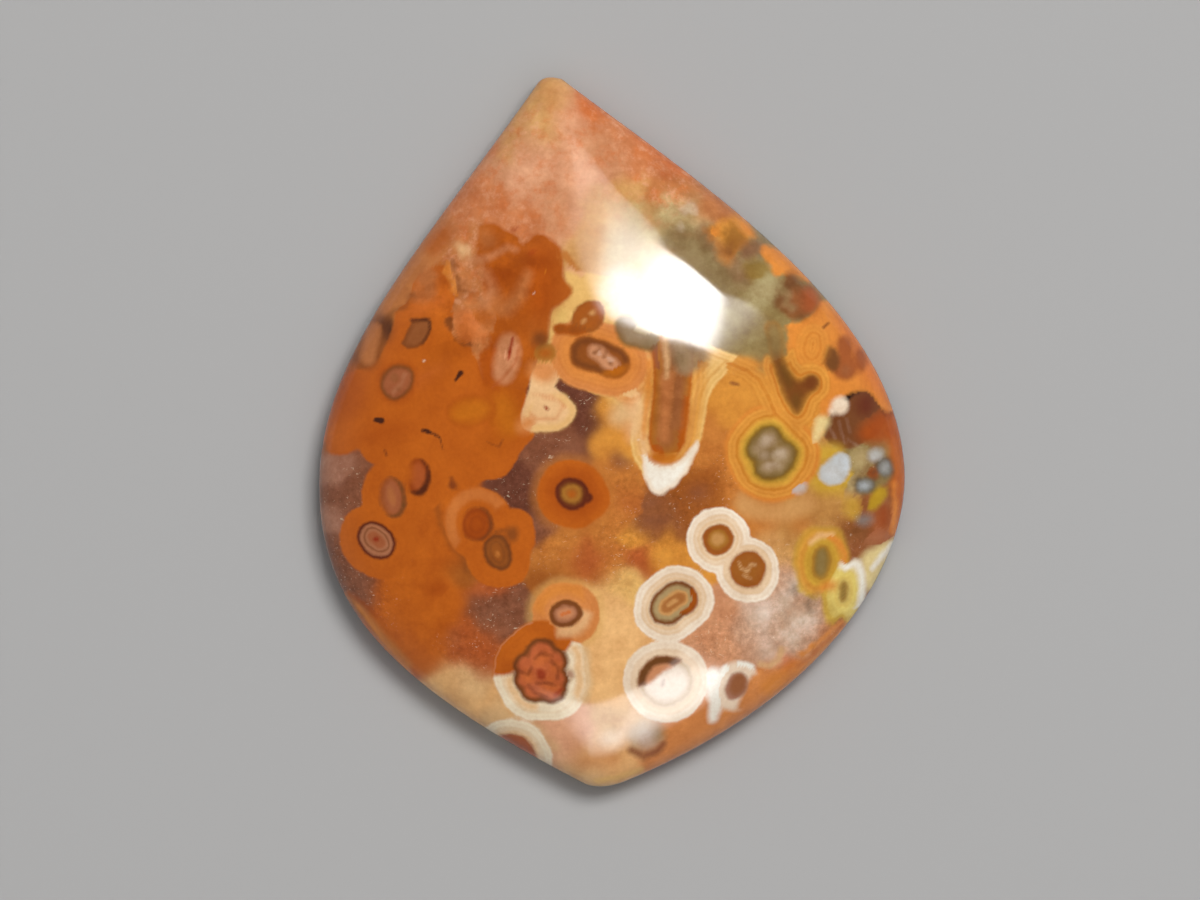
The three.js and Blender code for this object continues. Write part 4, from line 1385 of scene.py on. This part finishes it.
def store_markings(mesh):
    """Keeps a depth and a look for each layer of marking."""
    px = POINTS[:, 0]
    py = POINTS[:, 1]
    below = np.clip(GIRDLE_TOP - POINTS[:, 2], 0, None)
    sink = WALL_SINK * below + np.where(IS_BACK, BACK_SINK, 0.0)
    mark_x, mark_y = wavered(px, py, WAVER)
    for layer in LAYERS:
        fields = layer_fields(layer, mark_x, mark_y, sink)
        depth, cover, lines, colour, soft = add_back_eyes(layer, px, py, fields)
        form = np.stack([depth, cover, lines], axis=1)
        store(mesh, layer + " form", "FLOAT_VECTOR", "vector", form)
        store(mesh, layer + " look", "FLOAT_COLOR", "color", np.column_stack([colour, soft]))


def store_ground(mesh):
    """Keeps the ground's colour and where it sparkles, is mottled or is marbled."""
    x, y = wavered(POINTS[:, 0], POINTS[:, 1], CLOUD_WAVER)
    look = np.column_stack([ground_colour(x, y), soft_sum(x, y, SPARKLING)])
    store(mesh, "ground", "FLOAT_COLOR", "color", look)
    store(mesh, "mottle", "FLOAT", "value", soft_sum(x, y, MOTTLED))
    store(mesh, "marble", "FLOAT", "value", soft_sum(x, y, MARBLED))


def build_stone():
    """The stone's mesh, with its markings kept on its points."""
    mesh = bpy.data.meshes.new("agate_stone")
    faces = [tuple(face) for group in FACES for face in group.tolist()]
    mesh.from_pydata((POINTS * MM).tolist(), [], faces)
    mesh.update()
    store_markings(mesh)
    store_ground(mesh)
    stone = bpy.data.objects.new("agate_stone", mesh)
    bpy.context.scene.collection.objects.link(stone)
    mesh.shade_smooth()
    mesh.set_sharp_from_angle(angle=SHARP_ANGLE)
    return stone


# Material

ROUGHNESS = 0.06
REFRACTION = 1.54
FINE_BAND = 0.27  # millimetres from one fine line to the next in the banded layers
BROAD_BAND = 0.62  # and from one broad line to the next
NOISE_SPAN = (0.3, 0.7)  # between these lies most of what a noise node gives
EDGE_WIDENING = 1.3  # how much softer an edge is drawn than its layer says
LEAST_EDGE = 0.02
JITTER = 0.9  # millimetres that the flecks' grid is bent by
JITTER_SCALE = 2.0
FLECK_THINNESS = 2.2
FLECK_REACH = (0.10, 0.34)  # smallest and largest, as shares of the grid's cells
FLECK_CORE = 0.4  # share of a fleck that is fully bright
FLECK_CHOSEN = (0.55, 1.0)  # which cells have a fleck, from none to a full one
FLECK_STRENGTH = 0.6
FLECKS = ((35, 0.34, 3.0), (-50, 0.26, 9.0), (100, 0.42, 17.0), (5, 0.2, 29.0))  # turn, size, seed
BLOTCHES = (  # colour, scale, noise at which a blotch begins and is full, strength
    ("rust bright", 1.3, 0.42, 0.74, 0.6),
    ("rose pale", 1.9, 0.44, 0.76, 0.6),
)


class Graph:
    """Short ways to add and link shader nodes."""

    def __init__(self, material):
        material.use_nodes = True
        self.tree = material.node_tree
        self.nodes = self.tree.nodes
        self.links = self.tree.links
        self.nodes.clear()

    def node(self, kind, **settings):
        made = self.nodes.new(kind)
        for name, value in settings.items():
            setattr(made, name, value)
        return made

    def put(self, socket, value):
        if isinstance(value, bpy.types.NodeSocket):
            self.links.new(value, socket)
        elif value is not None:
            socket.default_value = value

    def maths(self, operation, a, b=None, clamp=False):
        made = self.node("ShaderNodeMath", operation=operation, use_clamp=clamp)
        self.put(made.inputs[0], a)
        self.put(made.inputs[1], b)
        return made.outputs[0]

    def remap(self, value, low, high, to_low=0.0, to_high=1.0, smooth=True):
        kind = "SMOOTHSTEP" if smooth else "LINEAR"
        made = self.node("ShaderNodeMapRange", interpolation_type=kind)
        sockets = ("Value", "From Min", "From Max", "To Min", "To Max")
        for name, setting in zip(sockets, (value, low, high, to_low, to_high)):
            self.put(made.inputs[name], setting)
        return made.outputs["Result"]

    def mix(self, share, a, b, blend="MIX"):
        made = self.node("ShaderNodeMix", data_type="RGBA", blend_type=blend)
        made.clamp_factor = True
        self.put(made.inputs["Factor"], share)
        self.put(made.inputs["A"], a)
        self.put(made.inputs["B"], b)
        return made.outputs["Result"]

    def toned(self, colour, strength, amounts):
        """A colour made lighter and paler where strength is above 0, and darker and richer below,
        by amounts of its red, green and blue."""
        factor = self.node("ShaderNodeVectorMath", operation="MULTIPLY_ADD")
        repeated = self.node("ShaderNodeCombineXYZ")
        for socket in repeated.inputs:
            self.put(socket, strength)
        self.put(factor.inputs[0], repeated.outputs[0])
        factor.inputs[1].default_value = amounts
        factor.inputs[2].default_value = (1, 1, 1)
        made = self.node("ShaderNodeVectorMath", operation="MULTIPLY")
        self.put(made.inputs[0], colour)
        self.put(made.inputs[1], factor.outputs[0])
        return made.outputs[0]

    def attribute(self, name):
        return self.node("ShaderNodeAttribute", attribute_name=name, attribute_type="GEOMETRY")

    def noise(self, place, scale, detail=2.0, roughness=0.5):
        made = self.node("ShaderNodeTexNoise")
        sockets = ("Vector", "Scale", "Detail", "Roughness")
        for name, setting in zip(sockets, (place, scale, detail, roughness)):
            self.put(made.inputs[name], setting)
        return made.outputs["Fac"]

    def swing(self, place, scale, detail, roughness, half=1.0, span=NOISE_SPAN, smooth=False):
        """Noise spread out so that it runs from -half to half where it crosses the span."""
        value = self.noise(place, scale, detail, roughness)
        return self.remap(value, *span, -half, half, smooth)

    def show(self, kind, shader):
        """Links a shader to an output of this kind, which the material, lamp or world shows."""
        self.put(self.node(kind).inputs["Surface"], shader)


def shown(colour):
    """A palette colour as a shader's socket takes it."""
    return (*linear(colour), 1)


def place_in_mm(graph):
    """The point on the stone in millimetres."""
    coordinate = graph.node("ShaderNodeTexCoord")
    scaled = graph.node("ShaderNodeVectorMath", operation="SCALE")
    graph.put(scaled.inputs[0], coordinate.outputs["Object"])
    scaled.inputs["Scale"].default_value = 1 / MM
    return scaled.outputs[0]


def flecks(graph, place, turn, size, seed):
    """Short bright strokes, painted glints off cleavage faces in the clear quartz, turned by turn
    degrees.
    """
    mapping = graph.node("ShaderNodeMapping")
    graph.put(mapping.inputs["Vector"], place)
    mapping.inputs["Rotation"].default_value = (0, 0, math.radians(turn))
    mapping.inputs["Location"].default_value = (seed, seed, 0)
    mapping.inputs["Scale"].default_value = (1 / size, FLECK_THINNESS / size, 1 / size)
    cells = graph.node("ShaderNodeTexVoronoi", feature="F1")
    graph.put(cells.inputs["Vector"], mapping.outputs[0])
    cells.inputs["Scale"].default_value = 1.0
    parts = graph.node("ShaderNodeSeparateColor")
    graph.put(parts.inputs[0], cells.outputs["Color"])
    reach = graph.remap(parts.outputs[1], 0.0, 1.0, *FLECK_REACH, smooth=False)
    core = graph.maths("MULTIPLY", reach, FLECK_CORE)
    near = graph.remap(cells.outputs["Distance"], reach, core)
    chosen = graph.remap(parts.outputs[0], *FLECK_CHOSEN)
    return graph.maths("MULTIPLY", near, chosen)


def crystal_grain(graph, place, colour, sparkle):
    """Clear quartz over a colour: dark and pale grains, and bright flecks of painted glint, where it
    sparkles.
    """
    jitter = graph.node("ShaderNodeTexNoise")
    graph.put(jitter.inputs["Vector"], place)
    jitter.inputs["Scale"].default_value = JITTER_SCALE
    bent = graph.node("ShaderNodeVectorMath", operation="MULTIPLY_ADD")
    graph.put(bent.inputs[0], jitter.outputs["Color"])
    bent.inputs[1].default_value = (JITTER, JITTER, JITTER)
    graph.put(bent.inputs[2], place)
    spread = graph.swing(place, scale=3.2, detail=5.0, roughness=0.75)
    spread = graph.maths("MULTIPLY", spread, sparkle)
    colour = graph.toned(colour, spread, amounts=(0.26, 0.30, 0.34))
    bright = 0.0
    for turn, size, seed in FLECKS:
        more = flecks(graph, bent.outputs[0], turn, size, seed)
        bright = graph.maths("ADD", bright, more, clamp=True)
    crowd = graph.remap(graph.noise(place, scale=0.8), 0.38, 0.62)
    # Painted glints: the flecks are mixed into the base colour as cream
    glint = graph.maths("MULTIPLY", bright, graph.maths("MULTIPLY", sparkle, crowd))
    return graph.mix(graph.maths("MULTIPLY", glint, FLECK_STRENGTH), colour, shown("cream"))


def blotched(graph, place, colour, mottle, tint, scale, low, high, share):
    """Blotches of a tint where the ground is mottled."""
    blotch = graph.remap(graph.noise(place, scale, detail=4.0, roughness=0.65), low, high)
    amount = graph.maths("MULTIPLY", graph.maths("MULTIPLY", blotch, mottle), share)
    return graph.mix(amount, colour, shown(tint))


def laid_on(graph, under, layer, waver):
    """Lays one layer of marking on the colour under it."""
    form = graph.node("ShaderNodeSeparateXYZ")
    graph.put(form.inputs[0], graph.attribute(layer + " form").outputs["Vector"])
    look = graph.attribute(layer + " look")
    depth, cover, lines = form.outputs
    depth = graph.maths("ADD", depth, waver)
    soft = graph.maths("MULTIPLY", look.outputs["Alpha"], EDGE_WIDENING)
    soft = graph.maths("ADD", soft, LEAST_EDGE)
    inside = graph.remap(depth, graph.maths("MULTIPLY", soft, -1.0), soft)
    share = graph.maths("MULTIPLY", inside, cover)
    colour = look.outputs["Color"]
    if layer in LINED:
        fine = graph.maths("SINE", graph.maths("MULTIPLY", depth, 2 * math.pi / FINE_BAND))
        broad = graph.maths("SINE", graph.maths("MULTIPLY", depth, 2 * math.pi / BROAD_BAND))
        strength = graph.maths("MULTIPLY", graph.maths("ADD", fine, broad), lines)
        colour = graph.toned(colour, strength, amounts=(0.03, 0.07, 0.12))
    return graph.mix(share, under, colour)


def agate_material():
    """Polished lace agate: layers of marking on a clear, mottled and sparkling ground."""
    material = bpy.data.materials.new("polished_agate")
    graph = Graph(material)
    place = place_in_mm(graph)
    ground = graph.attribute("ground")
    sparkle = ground.outputs["Alpha"]
    mottle = graph.attribute("mottle").outputs["Fac"]
    colour = ground.outputs["Color"]
    for blotch in BLOTCHES:
        colour = blotched(graph, place, colour, mottle, *blotch)
    cloud = graph.swing(place, scale=0.9, detail=4.0, roughness=0.6)
    colour = graph.toned(colour, cloud, amounts=(0.10, 0.16, 0.2))
    colour = crystal_grain(graph, place, colour, sparkle)
    waver = graph.swing(place, scale=2.4, detail=3.0, roughness=0.6, half=0.05, span=(0.25, 0.75))
    marble = graph.attribute("marble").outputs["Fac"]
    tatter = graph.swing(place, scale=1.1, detail=2.0, roughness=0.5, half=0.25)
    tatter = graph.maths("ADD", waver, graph.maths("MULTIPLY", tatter, marble))
    for layer in LAYERS:
        colour = laid_on(graph, colour, layer, tatter if layer in RAGGED else waver)
    cloud = graph.swing(place, scale=0.5, detail=5.0, roughness=0.6)
    colour = graph.toned(colour, cloud, amounts=(0.08, 0.12, 0.16))
    swirls = graph.swing(place, scale=0.7, detail=5.0, roughness=0.6, span=(0.36, 0.64), smooth=True)
    swirls = graph.maths("MULTIPLY", swirls, marble)
    colour = graph.toned(colour, swirls, amounts=(0.15, 0.2, 0.26))
    grain = graph.swing(place, scale=4.0, detail=3.0, roughness=0.6)
    colour = graph.toned(colour, grain, amounts=(0.03, 0.045, 0.06))
    shader = graph.node("ShaderNodeBsdfPrincipled")
    graph.put(shader.inputs["Base Color"], colour)
    shader.inputs["Roughness"].default_value = ROUGHNESS
    shader.inputs["IOR"].default_value = REFRACTION
    graph.show("ShaderNodeOutputMaterial", shader.outputs[0])
    return material


def floor_material():
    """Plain pale matt floor."""
    material = bpy.data.materials.new("pale_floor")
    graph = Graph(material)
    shader = graph.node("ShaderNodeBsdfPrincipled")
    shader.inputs["Base Color"].default_value = FLOOR_COLOUR
    shader.inputs["Roughness"].default_value = 0.9
    shader.inputs["Specular IOR Level"].default_value = 0.2
    graph.show("ShaderNodeOutputMaterial", shader.outputs[0])
    return material


# Stage: floor, light and camera

FLOOR_HALF = 1.5
FLOOR_COLOUR = (0.42, 0.415, 0.41, 1)
CAMERA_HEIGHT = 1.0
CAMERA_ROLL = math.radians(-3.7926)
VIEW_CENTRE = (-0.544, -1.104)  # millimetres
VIEW_WIDTH = 67.55  # millimetres
SENSOR_WIDTH = 36.0
NEAR_CLIP = 0.01
FAR_CLIP = 20
LAMP_DISTANCE = 0.8
SKY_COLOUR = (0.98, 0.98, 1.0, 1)
HORIZON_SPAN = (0.3, 0.85)  # heights between which the sky runs from bright to dim
SKY_STRENGTHS = (0.26, 0.1)


def build_floor():
    """A plain square of floor under the stone."""
    mesh = bpy.data.meshes.new("floor")
    s = FLOOR_HALF
    mesh.from_pydata([(-s, -s, 0), (s, -s, 0), (s, s, 0), (-s, s, 0)], [], [(0, 1, 2, 3)])
    floor = bpy.data.objects.new("floor", mesh)
    bpy.context.scene.collection.objects.link(floor)
    mesh.materials.append(floor_material())
    return floor


def build_camera():
    """A camera straight above the stone, rolled as the photograph is."""
    lens = bpy.data.cameras.new("camera")
    lens.sensor_width = SENSOR_WIDTH
    lens.lens = SENSOR_WIDTH * CAMERA_HEIGHT / (VIEW_WIDTH * MM)
    lens.clip_start = NEAR_CLIP
    lens.clip_end = FAR_CLIP
    camera = bpy.data.objects.new("camera", lens)
    camera.location = (VIEW_CENTRE[0] * MM, VIEW_CENTRE[1] * MM, CAMERA_HEIGHT)
    camera.rotation_euler = (0, 0, CAMERA_ROLL)
    bpy.context.scene.collection.objects.link(camera)
    bpy.context.scene.camera = camera


def lit_inside(graph, corners, softness):
    """How brightly a lamp shines at a point: full inside the corners and dark outside them. The
    corners run anticlockwise, and each side from one corner to the next has its own softness."""
    spot = graph.node("ShaderNodeSeparateXYZ")
    graph.put(spot.inputs[0], graph.node("ShaderNodeNewGeometry").outputs["Position"])
    x, y, z = spot.outputs
    right = graph.maths("DIVIDE", x, z)
    up = graph.maths("DIVIDE", y, z)
    level = 1.0
    for a, b, soft in zip(corners, corners[1:] + corners[:1], softness):
        length = math.hypot(b[0] - a[0], b[1] - a[1])
        inward_x = -(b[1] - a[1]) / length
        inward_y = (b[0] - a[0]) / length
        along_x = graph.maths("MULTIPLY", graph.maths("SUBTRACT", right, a[0]), inward_x)
        along_y = graph.maths("MULTIPLY", graph.maths("SUBTRACT", up, a[1]), inward_y)
        depth = graph.maths("ADD", along_x, along_y)
        level = graph.maths("MULTIPLY", level, graph.remap(depth, -soft, soft))
    return level


def aimed_lamp(name, low, high, power):
    """A rectangular lamp that faces the stone and spans a range of slopes: how far its corners
    lean from straight up, to the right and to the tip."""
    lean = Vector(((low[0] + high[0]) / 2, (low[1] + high[1]) / 2, 1.0))
    way = lean.normalized()
    lift = LAMP_DISTANCE / lean.length
    lamp = bpy.data.lights.new(name, "AREA")
    lamp.shape = "RECTANGLE"
    lamp.size = (high[0] - low[0]) * lift * math.sqrt(1 - way.x**2)
    lamp.size_y = (high[1] - low[1]) * lift * math.sqrt(1 - way.y**2)
    lamp.energy = power
    lamp_object = bpy.data.objects.new(name, lamp)
    lamp_object.location = way * LAMP_DISTANCE
    upward = way.cross(Vector((1, 0, 0))).normalized()
    across = upward.cross(way)
    lamp_object.rotation_mode = "QUATERNION"
    lamp_object.rotation_quaternion = Matrix((across, upward, way)).transposed().to_quaternion()
    lamp_object.visible_camera = False
    bpy.context.scene.collection.objects.link(lamp_object)
    return lamp_object


def soft_light(name, low, high, power):
    """A lamp that lights the scene and is not seen in the polish."""
    aimed_lamp(name, low, high, power).visible_glossy = False


def shine(name, corners, softness, radiance):
    """A lamp that is only seen mirrored in the polish, with its own outline."""
    margin = max(softness)
    low = [min(c[i] for c in corners) - margin for i in (0, 1)]
    high = [max(c[i] for c in corners) + margin for i in (0, 1)]
    lamp_object = aimed_lamp(name, low, high, 1.0)
    lamp_object.visible_diffuse = False
    lamp = lamp_object.data
    lamp.energy = radiance * lamp.size * lamp.size_y
    graph = Graph(lamp)
    emission = graph.node("ShaderNodeEmission")
    graph.put(emission.inputs["Strength"], lit_inside(graph, corners, softness))
    graph.show("ShaderNodeOutputLight", emission.outputs[0])


def build_world():
    """A bright horizon and a dim zenith, so that the top of the dome keeps its deep colour."""
    world = bpy.data.worlds.new("studio")
    bpy.context.scene.world = world
    graph = Graph(world)
    way = graph.node("ShaderNodeSeparateXYZ")
    graph.put(way.inputs[0], graph.node("ShaderNodeTexCoord").outputs["Generated"])
    background = graph.node("ShaderNodeBackground")
    background.inputs["Color"].default_value = SKY_COLOUR
    strength = graph.remap(way.outputs[2], *HORIZON_SPAN, *SKY_STRENGTHS)
    graph.put(background.inputs["Strength"], strength)
    graph.show("ShaderNodeOutputWorld", background.outputs[0])


def build_lights():
    """A window up and to the right, its reflection and a lower one, and soft light all round."""
    soft_light("window", low=(0.05, 0.2), high=(0.55, 0.6), power=4.4)
    soft_light("ceiling", low=(-0.9, -0.9), high=(0.9, 0.9), power=3.4)
    shine(
        "window_shine",
        radiance=75.0,
        corners=(
            (0.1, 0.248), (0.262, 0.234), (0.44, 0.475), (0.368, 0.527), (0.321, 0.524), (0.145, 0.336),
        ),
        softness=(0.004, 0.028, 0.006, 0.006, 0.022, 0.045),
    )
    shine(
        "near_haze",
        radiance=22.0,
        corners=((0.045, 0.25), (0.175, 0.24), (0.303, 0.489), (0.266, 0.526), (0.02, 0.28)),
        softness=(0.004, 0.006, 0.12, 0.03, 0.02),
    )
    shine(
        "far_haze",
        radiance=12.0,
        corners=(
            (0.04, 0.25), (0.175, 0.24), (0.369, 0.614), (0.374, 0.7), (0.34, 0.72), (-0.03, 0.35),
        ),
        softness=(0.004, 0.006, 0.01, 0.16, 0.12, 0.03),
    )
    shine(
        "side_haze",
        radiance=18.0,
        corners=((0.27, 0.23), (0.47, 0.37), (0.62, 0.52), (0.60, 0.53), (0.30, 0.43)),
        softness=(0.04, 0.06, 0.08, 0.01, 0.04),
    )
    shine(
        "low_shine",
        radiance=15.5,
        corners=((-0.45, -1.25), (0.6, -1.25), (0.42, -0.75), (0.2, -0.572), (-0.3, -0.65)),
        softness=(0.35, 0.06, 0.04, 0.02, 0.12),
    )
    shine(
        "low_core",
        radiance=9.0,
        corners=((0.06, -1.1), (0.6, -1.1), (0.42, -0.75), (0.2, -0.487), (0.145, -0.585)),
        softness=(0.2, 0.06, 0.04, 0.01, 0.05),
    )


stone = build_stone()
stone.data.materials.append(agate_material())
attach(stone, "root")
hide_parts("cabochon")
floor = build_floor()
build_camera()
build_lights()
build_world()
scene = bpy.context.scene
scene.view_settings.view_transform = "Standard"
